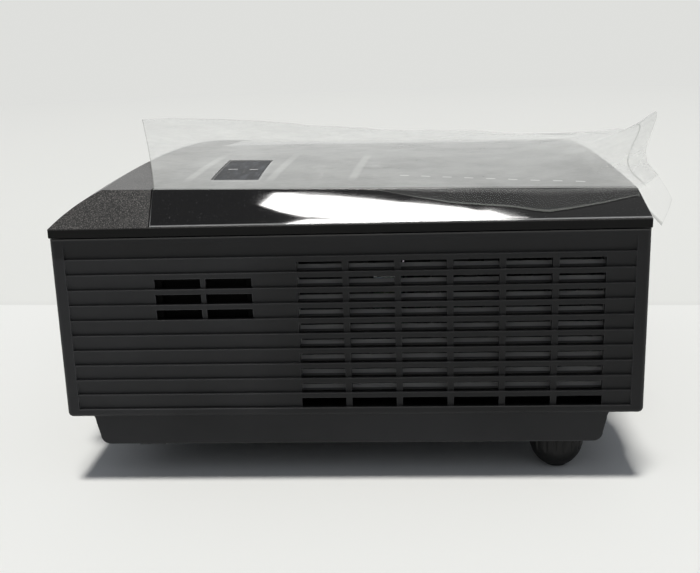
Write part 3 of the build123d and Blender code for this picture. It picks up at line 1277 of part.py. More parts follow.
def film_row(y, places):
    """Thin strip across the film."""
    line = [(x, top_z(x, y) + lift + FILM_GAP) for x, lift in places]
    lower = list(line)
    upper = [(x, z + FILM_THICK) for x, z in reversed(line)]
    frame = Plane(origin=(0, y, 0), x_dir=(1, 0, 0), z_dir=(0, -1, 0))
    return frame * make_face(Polyline(*lower, *upper, close=True))


def protective_film():
    sheet = loft([film_row(*row) for row in film_stations()], ruled=True)
    return sheet - display_column(1.0, COVER_Z, SKY + 20)


# ---------------------------------------------------------------- all pieces
def all_pieces():
    pieces = {
        "lower_case": lower_case(),
        "base_plinth": base_plinth(),
        "lamp_door": lamp_door(),
        "threaded_inserts": threaded_inserts(),
        "case_screws": case_screws(),
        "vent_baffle": vent_baffle(),
        "top_cover": top_cover(),
        "gloss_panel": gloss_panel(),
        "display_window": display_window(),
        "key_boards": key_boards(),
        "front_bezel": front_bezel(),
        "ir_window": ir_window(),
        "lens_barrel": lens_barrel(),
        "focus_ring": focus_ring(),
        "lens_cell": lens_cell(),
        "front_lens": front_lens(),
        "relay_optics": relay_optics(),
        "optical_casting": optical_casting(),
        "chip_board": chip_board(),
        "chip_heat_sink": chip_heat_sink(),
        "colour_wheel": colour_wheel(),
        "wheel_motor": wheel_motor(),
        "lamp_housing": lamp_housing(),
        "lamp": lamp(),
        "fan_frame": fan_frame(),
        "fan_rotor": fan_rotor(),
        "disc_tray": disc_tray(),
        "tray_bezel": tray_bezel(),
        "loader_chassis": loader_chassis(),
        "clamp_bridge": clamp_bridge(),
        "clamp_puck": clamp_puck(),
        "tray_pinion": tray_pinion(),
        "tray_motor": tray_motor(),
        "traverse": lowered([traverse()]),
        "guide_rods": lowered(guide_rods()),
        "traverse_motors": lowered(traverse_motors()),
        "turntable": lowered([turntable()]),
        "pickup_sled": lowered([pickup_sled()]),
        "feed_screw": lowered([feed_screw()]),
        "power_boards": power_boards(),
        "main_board": main_board(),
        "speakers": speakers(),
        "rear_panel": rear_panel(),
        "power_inlet": power_inlet(),
        "switch_frame": switch_frame(),
        "rocker": rocker(),
        "video_sockets": video_sockets(),
        "sound_sockets": sound_sockets(),
        "eject_key": eject_key(),
        "protective_film": protective_film(),
    }
    for name, spot in key_spots().items():
        pieces[name] = key(spot)
    for name, spot in FOOT_SPOTS.items():
        pieces[f"{name}_foot_knob"] = foot_knob(*spot)
        pieces[f"{name}_foot_pad"] = foot_pad(*spot)
    return pieces


os.makedirs("parts", exist_ok=True)
for name, shape in all_pieces().items():
    solid = Compound(children=list(shape)) if isinstance(shape, list) else shape
    export_step(solid, f"parts/{name}.step")
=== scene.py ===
"""Projector with a disc player: finishes, loose film, markings, stage, light and camera."""
import json
import math
import bmesh
import bpy
from mathutils import Matrix, Vector, noise


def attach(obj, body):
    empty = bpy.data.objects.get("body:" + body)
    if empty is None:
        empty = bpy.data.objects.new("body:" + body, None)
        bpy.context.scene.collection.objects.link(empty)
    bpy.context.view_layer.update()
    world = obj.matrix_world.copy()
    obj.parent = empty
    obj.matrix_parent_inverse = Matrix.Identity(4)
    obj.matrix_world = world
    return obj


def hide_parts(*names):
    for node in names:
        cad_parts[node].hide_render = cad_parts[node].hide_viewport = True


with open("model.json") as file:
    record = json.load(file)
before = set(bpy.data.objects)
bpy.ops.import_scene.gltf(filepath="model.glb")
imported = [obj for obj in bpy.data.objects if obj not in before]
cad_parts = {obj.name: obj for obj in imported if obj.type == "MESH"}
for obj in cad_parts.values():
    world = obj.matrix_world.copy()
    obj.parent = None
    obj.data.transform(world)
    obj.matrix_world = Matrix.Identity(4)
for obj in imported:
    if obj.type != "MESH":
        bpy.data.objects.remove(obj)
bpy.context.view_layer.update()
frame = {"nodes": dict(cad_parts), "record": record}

# The top's own form, in millimetres, as the CAD has it.
NOSE = (-107.0, 136.3)
TAIL = (125.0, 132.3)
TOP_HALF = 131.0
CROWN = 6.8
TOP_FALL = 8.7
FACET_Z = 120.8             # foot of the slope on the near side
FACET_RUN = 9.0             # from that foot to the top's near edge, along Y
NEAR = -140.0
WINDOW = ((-61.0, -41.0), (-113.0, -63.0))
LEDGE_Z = 99.8              # top of one louvre ledge of the near wall
LOUVRE_PITCH = 7.0
LEDGES_DOWN = 20            # from that ledge to one that would lie under the floor
MM = 0.001


def roof_z(x):
    return NOSE[1] + (TAIL[1] - NOSE[1]) * (x - NOSE[0]) / (TAIL[0] - NOSE[0])


def top_z(x, y):
    share = (y + TOP_HALF) / (2 * TOP_HALF)
    return roof_z(x) - TOP_FALL * share + CROWN * (1 - (y / TOP_HALF) ** 2)


# ---------------------------------------------------------------- finishes
class Nodes:
    """A node tree that is put together one node at a time."""

    def __init__(self, tree):
        self.tree = tree
        self.tree.nodes.clear()

    def add(self, kind, inputs=None, **settings):
        node = self.tree.nodes.new("ShaderNode" + kind)
        for key, value in settings.items():
            setattr(node, key, value)
        for key, value in (inputs or {}).items():
            if isinstance(value, bpy.types.NodeSocket):
                self.tree.links.new(value, node.inputs[key])
            else:
                node.inputs[key].default_value = value
        return node

    def remap(self, value, low, high, to_low=0.0, to_high=1.0, **settings):
        inputs = {"Value": value, "From Min": low, "From Max": high, "To Min": to_low, "To Max": to_high}
        return self.add("MapRange", inputs, **settings).outputs["Result"]

    def between(self, value, rise, fall):
        """Rises from 0 to 1 over one stretch and falls back to 0 over the next."""
        return self.product(self.remap(value, *rise), self.remap(value, *fall, 1.0, 0.0))

    def math(self, operation, a, b=0.0):
        return self.add("Math", {0: a, 1: b}, operation=operation).outputs[0]

    def chain(self, operation, values):
        result = values[0]
        for value in values[1:]:
            result = self.math(operation, result, value)
        return result

    def product(self, *values):
        return self.chain("MULTIPLY", values)

    def total(self, *values):
        return self.chain("ADD", values)

    def highest(self, *values):
        return self.chain("MAXIMUM", values)

    def mix(self, share, a, b):
        return self.add("Mix", {0: share, 6: a, 7: b}, data_type="RGBA").outputs[2]


class Finish(Nodes):
    """The nodes of one material."""

    def __init__(self, name):
        self.material = bpy.data.materials.new(name)
        self.material.use_nodes = True
        super().__init__(self.material.node_tree)

    def place(self):
        return self.add("TexCoord").outputs["Object"]

    def stretched(self, scale, turn=(0.0, 0.0, 0.0)):
        inputs = {"Vector": self.place(), "Scale": scale, "Rotation": turn}
        return self.add("Mapping", inputs).outputs[0]

    def spot(self):
        """The three parts of the place, in metres."""
        return self.add("SeparateXYZ", {0: self.place()}).outputs

    def noise(self, scale, detail=3.0, rough=0.6, place=None):
        inputs = {"Scale": scale, "Detail": detail, "Roughness": rough, "Vector": place or self.place()}
        return self.add("TexNoise", inputs).outputs["Fac"]

    def above_ledge(self, height):
        """How far a spot lies above the louvre ledge under it, as a share of their pitch."""
        below_floor = (LEDGES_DOWN * LOUVRE_PITCH - LEDGE_Z) * MM
        turns = self.math("DIVIDE", self.total(height, below_floor), LOUVRE_PITCH * MM)
        return self.math("FRACT", turns)

    def upward(self, low=0.35, high=0.95):
        """How much a face looks up, 0 to 1."""
        normal = self.add("NewGeometry").outputs["Normal"]
        height = self.add("SeparateXYZ", {0: normal}).outputs["Z"]
        return self.remap(height, low, high)

    def edge_wear_and_highlight(self, radius=0.0006):
        """Sharp edges, from the gap between the real and the softened normal; their paler tone is partly
        wear, partly painted highlight.
        """
        soft = self.add("Bevel", {"Radius": radius}, samples=6).outputs["Normal"]
        hard = self.add("NewGeometry").outputs["Normal"]
        like = self.add("VectorMath", {0: soft, 1: hard}, operation="DOT_PRODUCT").outputs["Value"]
        return self.remap(like, 0.998, 0.93)

    def bump(self, height, strength, distance=0.0002, radius=0.0005):
        inputs = {"Height": height, "Strength": strength, "Distance": distance}
        if radius:
            inputs["Normal"] = self.add("Bevel", {"Radius": radius}, samples=4).outputs["Normal"]
        return self.add("Bump", inputs).outputs["Normal"]

    def done(self, **inputs):
        names = {key.replace("_", " "): value for key, value in inputs.items()}
        shader = self.add("BsdfPrincipled", names)
        self.add("OutputMaterial", {"Surface": shader.outputs[0]})
        return self.material


def rgb(red, green, blue):
    return (red, green, blue, 1.0)


def grey(value, warm=0.0):
    return rgb(value * (1 + warm), value, value * (1 - warm))


def scaled(colour, by, plus=0.0):
    return rgb(*(part * by + plus for part in colour[:3]))


# Places on the near wall where shade and a highlight are painted, in metres: where a mask starts, then
# where it is full.
WALL_FACE = (-0.1372, -0.1378)
WALL_OVER_FOOT = (0.0335, 0.0345)
WALL_OPENINGS = (-0.1386, -0.1379)
WALL_BANDS = (-0.1394, -0.139)
WALL_BY_VENT = (-0.045, -0.02)
WALL_TOP = (0.107, 0.108)
WALL_RIM = (0.1154, 0.1158)
# Shares of the louvre pitch, the first and last falling from full to none.
BAND_FOOT = (0.05, 0.1)
UNDER_SILL = (0.8, 0.85)
ON_LEDGE = (0.05, 0.09)
# Places on the top, in metres, around the foot of its slopes: where the skirt ends, and where painted
# highlights go.
SLOPE_FOOT = FACET_Z * MM
SKIRT_END = (SLOPE_FOOT - 0.0006, SLOPE_FOOT + 0.0002)
RIM_LOW = (SLOPE_FOOT - 0.001, SLOPE_FOOT)
RIM_HIGH = (SLOPE_FOOT + 0.0009, SLOPE_FOOT + 0.0005)
SEAM_X = (-0.0845, -0.0848)
SEAM_LOW = (0.115, 0.12)


def near_wall(f, base):
    """The louvred near wall: painted shade at the foot of each band, inside its vents, round the large one
    and along a strip at its top, and a painted highlight along its upper edge."""
    spot = f.spot()
    over_foot = f.remap(spot["Z"], *WALL_OVER_FOOT)
    near = f.product(f.remap(spot["Y"], *WALL_FACE), over_foot)
    inside = f.product(f.remap(spot["Y"], *WALL_OPENINGS), over_foot)
    foot = f.product(f.remap(f.above_ledge(spot["Z"]), *BAND_FOOT, 1.0, 0.0),
                     f.remap(spot["Y"], *WALL_BANDS))
    by_vent = f.remap(spot["X"], *WALL_BY_VENT)
    top = f.remap(spot["Z"], *WALL_TOP)
    # Painted shade at the foot of each band, in the vent openings, round the large vent and along a strip
    # at the top.
    shade = f.highest(f.product(foot, near, 0.6), f.product(inside, 0.9),
                      f.product(by_vent, near, 0.47), f.product(top, near, 0.5))
    base = f.mix(shade, base, grey(0.001))
    # Painted highlight: a paler line along the wall's upper edge.
    rim_highlight = f.product(f.remap(spot["Z"], *WALL_RIM), near, 0.9)
    return f.mix(rim_highlight, base, grey(0.045))


def vent_shade(f, base):
    """Slats behind the vents, dark where the wall's sills keep the light off."""
    share = f.above_ledge(f.spot()["Z"])
    dark = f.highest(f.remap(share, *UNDER_SILL), f.remap(share, *ON_LEDGE, 1.0, 0.0))
    return f.mix(f.product(dark, 0.93), base, grey(0.002))


def moulded(name, colour, grain=2000.0, rough=0.5, dust=0.12, depth=0.35, specular=0.5, edge=0.35,
            shade=None):
    """Fine-grained moulded plastic with a little dust on what looks up, and paler edges that are partly
    wear and partly a painted highlight.
    """
    f = Finish(name)
    fine = f.noise(grain, 4.0, 0.7)
    large = f.noise(22.0, 3.0, 0.55)
    base = f.mix(f.remap(large, 0.35, 0.65), scaled(colour, 0.86), scaled(colour, 1.16, 0.002))
    # Paler sharp edges: partly wear, partly a painted highlight where edges catch the light.
    base = f.mix(f.product(f.edge_wear_and_highlight(), edge), base, scaled(colour, 2.6, 0.03))
    specks = f.remap(f.noise(900.0, 2.0, 0.5), 0.5, 0.75, 0.25, 1.0)
    base = f.mix(f.product(f.upward(), specks, dust), base, rgb(0.42, 0.41, 0.39))
    if shade:
        base = shade(f, base)
    roughness = f.remap(large, 0.3, 0.7, rough - 0.06, rough + 0.07)
    return f.done(Base_Color=base, Roughness=roughness, Specular_IOR_Level=specular,
                  Normal=f.bump(fine, depth))


def speckled(name):
    """Dark plastic with metal flecks; the upright skirt under the slopes is plain and darker."""
    f = Finish(name)
    slope = f.remap(f.spot()["Z"], *SKIRT_END)
    flecks = f.remap(f.noise(2300.0, 1.5, 0.5), 0.52, 0.66)
    coarse = f.remap(f.noise(900.0, 2.0, 0.5), 0.46, 0.7)
    large = f.noise(18.0, 3.0, 0.5)
    base = f.mix(f.remap(large, 0.3, 0.7), grey(0.026), grey(0.04, 0.03))
    base = f.mix(f.product(flecks, 0.6), base, grey(0.26, 0.05))
    base = f.mix(f.product(coarse, 0.35), base, grey(0.13, 0.06))
    base = f.mix(slope, grey(0.0045), base)
    roughness = f.remap(large, 0.3, 0.7, 0.3, 0.42)
    return f.done(Base_Color=base, Roughness=roughness, Specular_IOR_Level=f.remap(slope, 0, 1, 0.12, 0.4),
                  Normal=f.bump(flecks, 0.12, 0.0001))


def polished(name, colour, rough=0.018):
    """Polished black with faint smears, fine hairlines and dust, and painted highlights along its lower
    edge and beside the seam.
    """
    f = Finish(name)
    smears = f.noise(30.0, 4.0, 0.6)
    lines = f.noise(6.0, 2.0, 0.5, f.stretched((60.0, 900.0, 300.0), (0.2, 0.1, 0.5)))
    dust = f.remap(f.noise(1500.0, 2.0, 0.5), 0.66, 0.74, 0.0, 0.35)
    base = f.mix(f.product(dust, f.upward(0.2, 0.9)), colour, grey(0.25))
    spot = f.spot()
    # Painted highlights: a pale line along the foot of the slope and another beside the seam.
    rim_highlight = f.product(f.remap(spot["Z"], *RIM_HIGH), f.remap(spot["Z"], *RIM_LOW))
    seam = f.product(f.remap(spot["X"], *SEAM_X), f.remap(spot["Z"], *SEAM_LOW))
    base = f.mix(f.highest(f.product(rim_highlight, 0.75), f.product(seam, 0.45)), base, grey(0.5))
    roughness = f.remap(smears, 0.35, 0.75, rough, rough + 0.03)
    return f.done(Base_Color=base, Roughness=roughness, Specular_IOR_Level=0.5, Coat_Weight=0.3,
                  Coat_Roughness=0.01, Normal=f.bump(lines, 0.02, 0.00002))


def hazy(name):
    """Dark window under a patchy haze of dust and old glue."""
    f = Finish(name)
    clouds = f.noise(330.0, 4.0, 0.7, f.stretched((1.0, 0.3, 1.0)))
    streaks = f.noise(1.0, 3.0, 0.6, f.stretched((500.0, 60.0, 200.0)))
    share = f.product(f.remap(clouds, 0.43, 0.6), f.remap(streaks, 0.35, 0.65, 0.4, 1.0))
    base = f.mix(share, rgb(0.006, 0.007, 0.009), rgb(0.11, 0.115, 0.125))
    return f.done(Base_Color=base, Roughness=f.remap(clouds, 0.3, 0.7, 0.3, 0.6), Specular_IOR_Level=0.12,
                  Normal=f.bump(clouds, 0.1))


def metal(name, colour, rough, stretch=(1.0, 1.0, 1.0), grain=600.0):
    f = Finish(name)
    fine = f.noise(grain, 3.0, 0.6, f.stretched(stretch))
    large = f.noise(40.0, 3.0, 0.6)
    base = f.mix(f.remap(large, 0.3, 0.7), scaled(colour, 0.82), colour)
    roughness = f.remap(fine, 0.3, 0.7, rough - 0.08, rough + 0.1)
    return f.done(Base_Color=base, Metallic=1.0, Roughness=roughness,
                  Normal=f.bump(fine, 0.15, 0.0001, 0.0003))


def glass(name, colour, coating=320.0, rough=0.01):
    """Coated lens glass with faint smears; the coating's thickness is in nanometres."""
    f = Finish(name)
    smears = f.remap(f.noise(60.0, 3.0, 0.6), 0.4, 0.8, rough, rough + 0.05)
    return f.done(Base_Color=colour, Roughness=smears, Transmission_Weight=1.0, IOR=1.52,
                  Thin_Film_Thickness=coating, Thin_Film_IOR=1.38)


def mirror(name):
    f = Finish(name)
    turn = f.remap(f.noise(70.0, 2.0, 0.5), 0.3, 0.7)
    base = f.mix(turn, rgb(0.62, 0.66, 0.75), rgb(0.72, 0.62, 0.7))
    return f.done(Base_Color=base, Metallic=1.0, Roughness=f.remap(turn, 0, 1, 0.06, 0.12),
                  Normal=f.bump(turn, 0.02, 0.0001, 0.0003))


def circuit(name):
    """Solder mask over copper tracks, with tinned pads."""
    f = Finish(name)
    place = f.place()
    bricks = {"Vector": place, "Scale": 300.0, "Mortar Size": 0.05, "Color1": grey(0.0),
              "Color2": grey(0.0), "Mortar": grey(1.0)}
    tracks = f.add("TexBrick", bricks, offset=0.37).outputs["Fac"]
    pads = f.add("TexVoronoi", {"Vector": place, "Scale": 330.0, "Randomness": 0.6}).outputs["Distance"]
    pads = f.remap(pads, 0.18, 0.14)
    base = f.mix(tracks, rgb(0.012, 0.085, 0.035), rgb(0.03, 0.17, 0.07))
    base = f.mix(f.product(pads, 0.8), base, rgb(0.55, 0.55, 0.52))
    return f.done(Base_Color=base, Roughness=f.remap(pads, 0, 1, 0.38, 0.25),
                  Normal=f.bump(tracks, 0.3, 0.0001))


# Marks under the film, in metres: pitches, offsets, and where each rises and falls away.
GLUE_PITCH = 0.037
GLUE_OFFSET = 0.2673
GLUE_SLANT = -0.07
GLUE_HALF = (0.03, 0.07)    # of the pitch, from full to none
GLUE_ALONG = ((-0.08, -0.074), (0.014, 0.02))
GLUE_ACROSS = ((-0.12, -0.108), (-0.065, -0.035))
DASH_PITCH = 0.0096
DASH_OFFSET = 10.53
DASH_LENGTH = (0.38, 0.44)  # of the pitch, from full to none
DASH_SLANT = 0.203
DASH_ROW = 0.1006
DASH_HALF = (0.0005, 0.001)
DASH_ALONG = ((0.019, 0.022), (0.104, 0.107))


def glue_bands(f, spot):
    """Pale bands that old glue leaves under the film, side by side near the display window."""
    across = f.total(spot["X"], f.product(spot["Y"], GLUE_SLANT), GLUE_OFFSET)
    turns = f.math("FRACT", f.math("DIVIDE", across, GLUE_PITCH))
    off_middle = f.math("ABSOLUTE", f.math("SUBTRACT", turns, 0.5))
    return f.product(f.remap(off_middle, *GLUE_HALF, 1.0, 0.0), f.between(spot["X"], *GLUE_ALONG),
                     f.between(spot["Y"], *GLUE_ACROSS))


def film_dashes(f, spot):
    """Row of short pale dashes across the film."""
    line = f.total(spot["Y"], f.product(spot["X"], DASH_SLANT), DASH_ROW)
    turns = f.math("FRACT", f.total(f.math("DIVIDE", spot["X"], DASH_PITCH), DASH_OFFSET))
    return f.product(f.remap(f.math("ABSOLUTE", line), *DASH_HALF, 0.8, 0.0),
                     f.remap(turns, *DASH_LENGTH, 1.0, 0.0), f.between(spot["X"], *DASH_ALONG))


def film_finish(name):
    """Clear sheet, a little milky: shinier at a low angle, darker along its cut edges and creases."""
    f = Finish(name)
    creases = f.noise(26.0, 5.0, 0.65)
    fine = f.noise(420.0, 3.0, 0.6)
    edge = f.add("Attribute", attribute_name="edge").outputs["Fac"]
    low_angle = f.add("LayerWeight", {"Blend": 0.5}).outputs["Facing"]
    base = f.mix(f.remap(creases, 0.35, 0.7), rgb(0.56, 0.57, 0.55), rgb(0.68, 0.69, 0.665))
    base = f.mix(f.product(edge, 0.9), base, rgb(0.17, 0.18, 0.16))
    spot = f.spot()
    pale = f.highest(f.product(glue_bands(f, spot), 0.35), film_dashes(f, spot))
    base = f.mix(pale, base, rgb(0.86, 0.87, 0.84))
    alpha = f.total(f.remap(low_angle, 0.14, 0.85, 0.04, 0.6),
                    f.product(f.remap(creases, 0.3, 0.75, -0.04, 0.1), low_angle),
                    f.product(pale, low_angle, 0.3), f.product(edge, 0.42))
    height = f.total(f.product(creases, 3.0), f.product(fine, 0.02))
    return f.done(Base_Color=base, Alpha=alpha, Roughness=0.26, Specular_IOR_Level=0.35,
                  Normal=f.bump(height, 0.4, 0.0008, 0))


MOULDED = {
    # The case's edges are painted much paler: painted highlights along the louvre ledges, as well as wear.
    "case_plastic": dict(colour=rgb(0.0192, 0.0195, 0.021), grain=2600.0, rough=0.48, dust=0.03,
                         specular=0.2, edge=0.8, shade=near_wall),
    "pale_plastic": dict(colour=grey(0.3), grain=1800.0, dust=0.05, edge=0.1, shade=vent_shade),
    "knob_plastic": dict(colour=grey(0.005), grain=1500.0, rough=0.45, dust=0.03, depth=0.2,
                         specular=0.2, edge=0.2),
    "key_plastic": dict(colour=grey(0.008), grain=2400.0, rough=0.12, dust=0.02, depth=0.05),
    "rubber": dict(colour=grey(0.022), grain=1200.0, rough=0.78, dust=0.15, depth=0.5, specular=0.3),
    "ring_rubber": dict(colour=grey(0.02), grain=1700.0, rough=0.62, dust=0.1, depth=0.4, specular=0.35),
    "tray_plastic": dict(colour=grey(0.022), grain=2200.0, rough=0.42, dust=0.06, depth=0.2, specular=0.3),
    # The next two are near-black stand-ins for parts inside the housing: painted shade.
    "interior_painted_shade": dict(colour=grey(0.014), grain=900.0, rough=0.6, dust=0.02, depth=0.5,
                         specular=0.15, edge=0.15),
    "speaker_painted_shade": dict(colour=grey(0.003), grain=1500.0, rough=0.8, dust=0.0, depth=0.4,
                          specular=0.05, edge=0.0),
    "gear_plastic": dict(colour=rgb(0.78, 0.77, 0.72), grain=1200.0, rough=0.4, dust=0.05, depth=0.1),
    "lens_black": dict(colour=grey(0.007), grain=2800.0, rough=0.4, dust=0.02, depth=0.15,
                       specular=0.2, edge=0.1),
    "marks": dict(colour=grey(0.62), dust=0.0, depth=0.1),
    "blue_insert": dict(colour=rgb(0.01, 0.05, 0.35), rough=0.45, dust=0.0, depth=0.1),
    "yellow_ring": dict(colour=rgb(0.75, 0.5, 0.02), rough=0.4, dust=0.0, depth=0.1),
    "white_ring": dict(colour=grey(0.72), rough=0.4, dust=0.0, depth=0.1),
    "red_ring": dict(colour=rgb(0.55, 0.02, 0.015), rough=0.4, dust=0.0, depth=0.1),
}
FINISHES = {name: moulded(name, **look) for name, look in MOULDED.items()}
FINISHES.update({
    "speckled_plastic": speckled("speckled_plastic"),
    "piano_black": polished("piano_black", grey(0.006)),
    "dark_window": hazy("dark_window"),
    "steel": metal("steel", grey(0.55), 0.3, (1.0, 14.0, 14.0)),
    "aluminium": metal("aluminium", grey(0.34), 0.5, grain=1500.0),
    "brass": metal("brass", rgb(0.72, 0.52, 0.22), 0.28, (1.0, 1.0, 20.0)),
    "optical_glass": glass("optical_glass", rgb(0.95, 0.98, 1.0)),
    "mirror_glass": mirror("mirror_glass"),
    "circuit_board": circuit("circuit_board"),
    "film": film_finish("film"),
})
finish_of = {row["node"]: row["material_slot"] for row in frame["record"]["subparts"]}
# Parts inside the housing get near-black finishes in place of their own: painted shade for the dark seen
# through the vents.
finish_of.update(speakers="speaker_painted_shade", optical_casting="interior_painted_shade", wheel_motor="interior_painted_shade",
                 lamp_housing="interior_painted_shade")
for node, thing in frame["nodes"].items():
    thing.data.materials.clear()
    thing.data.materials.append(FINISHES[finish_of[node]])


# ---------------------------------------------------------------- pieces, in millimetres
MARK_LIFT = 0.02            # a printed mark's own thickness
MARK_GAP = 0.02             # between a key and the foot of its mark
KEY_RAISE = 0.3             # how far the top's keys stand out of it
KEY_SPOTS = {"power_key": (-14, -104), "source_key": (12, -104),
             "menu_key": (-14, -80), "play_key": (12, -80)}
WINDOW_DASHES = ((-56.3, -86.0, 4.6), (-46.1, -86.8, 3.8))  # x, y and length
WINDOW_DASH_WIDE = 1.1
WINDOW_DASH_LIFT = 0.03
EJECT_KEY = (109.0, 140.3, 94.5)
SOCKET_LOW = 47.6
VIDEO_FACE = (131.6, 8.0, SOCKET_LOW + 6)
VIDEO_OUTLINE = ((-7.6, 3.2), (7.6, 3.2), (6.6, -3.2), (-6.6, -3.2))
VIDEO_INSERT = 0.5          # how far the insert stands out
NUT_AWAY = 12.4             # each nut's distance from the socket's middle
NUT = (126.4, 2.4, 5.0)     # foot along X, radius and length
NUT_PLUG = (131.4, 1.3, 0.8)
PHONO_Z = SOCKET_LOW + 7
PHONO_RINGS = ((74.0, "yellow_ring"), (88.0, "white_ring"), (102.0, "red_ring"))
PHONO_PROFILE = ((4.45, 130.1), (6.2, 130.1), (6.2, 131.2), (5.6, 131.8), (4.45, 131.8))  # radius, x
PHONO_STEPS = 48
ROCKER_MIDDLE = Vector((127.0, -98.0, 90.0))
ROCKER_TIP = math.radians(10.0)
ROCKER_OUT = 1.3            # from its middle to the ends of the arc that the marks lie on
ROCKER_BELLY = 2.35         # how far that arc bulges, and half its height
ROCKER_HALF = 10.6


def piece(name, mesh, finish, body):
    """A mesh in millimetres as an object that rides on a body."""
    bmesh.ops.scale(mesh, vec=(MM, MM, MM), verts=mesh.verts)
    data = bpy.data.meshes.new(name)
    mesh.to_mesh(data)
    mesh.free()
    thing = bpy.data.objects.new(name, data)
    bpy.context.scene.collection.objects.link(thing)
    data.materials.append(FINISHES[finish])
    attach(thing, body)
    return thing


def slab(mesh, outline, lift, place):
    """A raised outline: points (u, v) go through place(u, v, height)."""
    low = [mesh.verts.new(place(u, v, 0.0)) for u, v in outline]
    high = [mesh.verts.new(place(u, v, lift)) for u, v in outline]
    mesh.faces.new(high)
    count = len(outline)
    for i in range(count):
        j = (i + 1) % count
        mesh.faces.new((low[i], low[j], high[j], high[i]))


def bar(u, v, length, width):
    return [(u - length / 2, v - width / 2), (u + length / 2, v - width / 2),
            (u + length / 2, v + width / 2), (u - length / 2, v + width / 2)]


def regular(radius, corners):
    turns = [math.radians(360 / corners * i) for i in range(corners)]
    return [(radius * math.cos(turn), radius * math.sin(turn)) for turn in turns]


def arc_band(mesh, centre, radius, width, start, end, lift, place, steps=20):
    """Part of a flat ring, as a strip of small faces that share their ends."""
    def spot(turn, r):
        return (centre[0] + r * math.cos(turn), centre[1] + r * math.sin(turn))

    rows = []
    for i in range(steps + 1):
        turn = math.radians(start + (end - start) * i / steps)
        inner, outer = spot(turn, radius - width / 2), spot(turn, radius + width / 2)
        rows.append([mesh.verts.new(place(*inner, lift)), mesh.verts.new(place(*outer, lift))])
    for a, b in zip(rows, rows[1:]):
        mesh.faces.new((a[0], a[1], b[1], b[0]))


def on_top(x, y, raised=0.0):
    """Places a mark's points around a spot of the top, or so far over it."""
    def place(u, v, h):
        return Vector((x + u, y + v, top_z(x + u, y + v) + (raised + h)))
    return place


def on_rear(x, y, z):
    """Places points around a spot of a face that looks along X."""
    def place(u, v, h):
        return Vector((x + h, y + u, z + v))
    return place


def on_eject_key(u, v, h):
    return Vector((EJECT_KEY[0] - u, EJECT_KEY[1] + MARK_GAP + h, EJECT_KEY[2] + v))


def on_rocker(u, v, h):
    """Places points on an arc close to the rocker's face, tipped as it rests."""
    out = ROCKER_OUT + ROCKER_BELLY * math.sqrt(max(0.0, 1 - (v / ROCKER_HALF) ** 2)) + h
    dx = out * math.cos(ROCKER_TIP) + v * math.sin(ROCKER_TIP)
    dz = v * math.cos(ROCKER_TIP) - out * math.sin(ROCKER_TIP)
    return ROCKER_MIDDLE + Vector((dx, u, dz))


def key_marks():
    """Generic symbols on the four flush keys: power, input arrow, list, play."""
    for name, (x, y) in KEY_SPOTS.items():
        mesh = bmesh.new()
        place = on_top(x, y, KEY_RAISE + MARK_GAP)
        if name == "power_key":
            arc_band(mesh, (0, 0), 2.0, 0.4, 125, 415, MARK_LIFT, place)
            slab(mesh, bar(0, 1.7, 0.4, 2.0), MARK_LIFT, place)
        elif name == "source_key":
            slab(mesh, bar(-1.0, 0, 3.2, 0.4), MARK_LIFT, place)
            slab(mesh, [(0.4, -1.2), (2.4, 0), (0.4, 1.2)], MARK_LIFT, place)
        elif name == "menu_key":
            for row in (-1.3, 0.0, 1.3):
                slab(mesh, bar(0, row, 4.2, 0.45), MARK_LIFT, place)
        else:
            slab(mesh, [(-1.2, -1.8), (2.0, 0), (-1.2, 1.8)], MARK_LIFT, place)
        piece(name + "_mark", mesh, "marks", name)


def window_dashes():
    """Two short pale dashes across the display window."""
    mesh = bmesh.new()
    for x, y, length in WINDOW_DASHES:
        slab(mesh, bar(0, 0, length, WINDOW_DASH_WIDE), WINDOW_DASH_LIFT, on_top(x, y))
    piece("window_dashes", mesh, "marks", "case")


def eject_mark():
    mesh = bmesh.new()
    slab(mesh, [(-2.0, -0.2), (2.0, -0.2), (0, 2.2)], MARK_LIFT, on_eject_key)
    slab(mesh, bar(0, -1.4, 4.0, 0.6), MARK_LIFT, on_eject_key)
    piece("eject_mark", mesh, "marks", "eject_key")


def socket_trim():
    """Blue insert and hex nuts of the video socket, and the coloured rings of the phono sockets."""
    mesh = bmesh.new()
    slab(mesh, VIDEO_OUTLINE, VIDEO_INSERT, on_rear(*VIDEO_FACE))
    piece("video_insert", mesh, "blue_insert", "case")
    mesh = bmesh.new()
    middle, height = VIDEO_FACE[1:]
    for y in (middle - NUT_AWAY, middle + NUT_AWAY):
        for (x, radius, length), corners in ((NUT, 6), (NUT_PLUG, 12)):
            slab(mesh, regular(radius, corners), length, on_rear(x, y, height))
    piece("video_nuts", mesh, "steel", "case")
    for y, name in PHONO_RINGS:
        mesh = bmesh.new()
        rows = []
        for i in range(PHONO_STEPS):
            turn = 2 * math.pi * i / PHONO_STEPS
            ring = [(x, y + r * math.cos(turn), PHONO_Z + r * math.sin(turn)) for r, x in PHONO_PROFILE]
            rows.append([mesh.verts.new(point) for point in ring])
        for a, b in zip(rows, rows[1:] + rows[:1]):
            for k in range(len(a)):
                after = (k + 1) % len(a)
                mesh.faces.new((a[k], b[k], b[after], a[after]))
        piece("phono_" + name, mesh, name, "case")


def rocker_marks():
    """I and O on the two halves of the rocker, which rests tipped to off; its face bulges further
    than their arc, so it hides most of them."""
    mesh = bmesh.new()
    slab(mesh, bar(0, 4.6, 0.5, 2.6), 0.05, on_rocker)
    arc_band(mesh, (0, -4.6), 1.3, 0.45, 0, 360, 0.06, on_rocker, 24)
    piece("rocker_marks", mesh, "marks", "rocker")


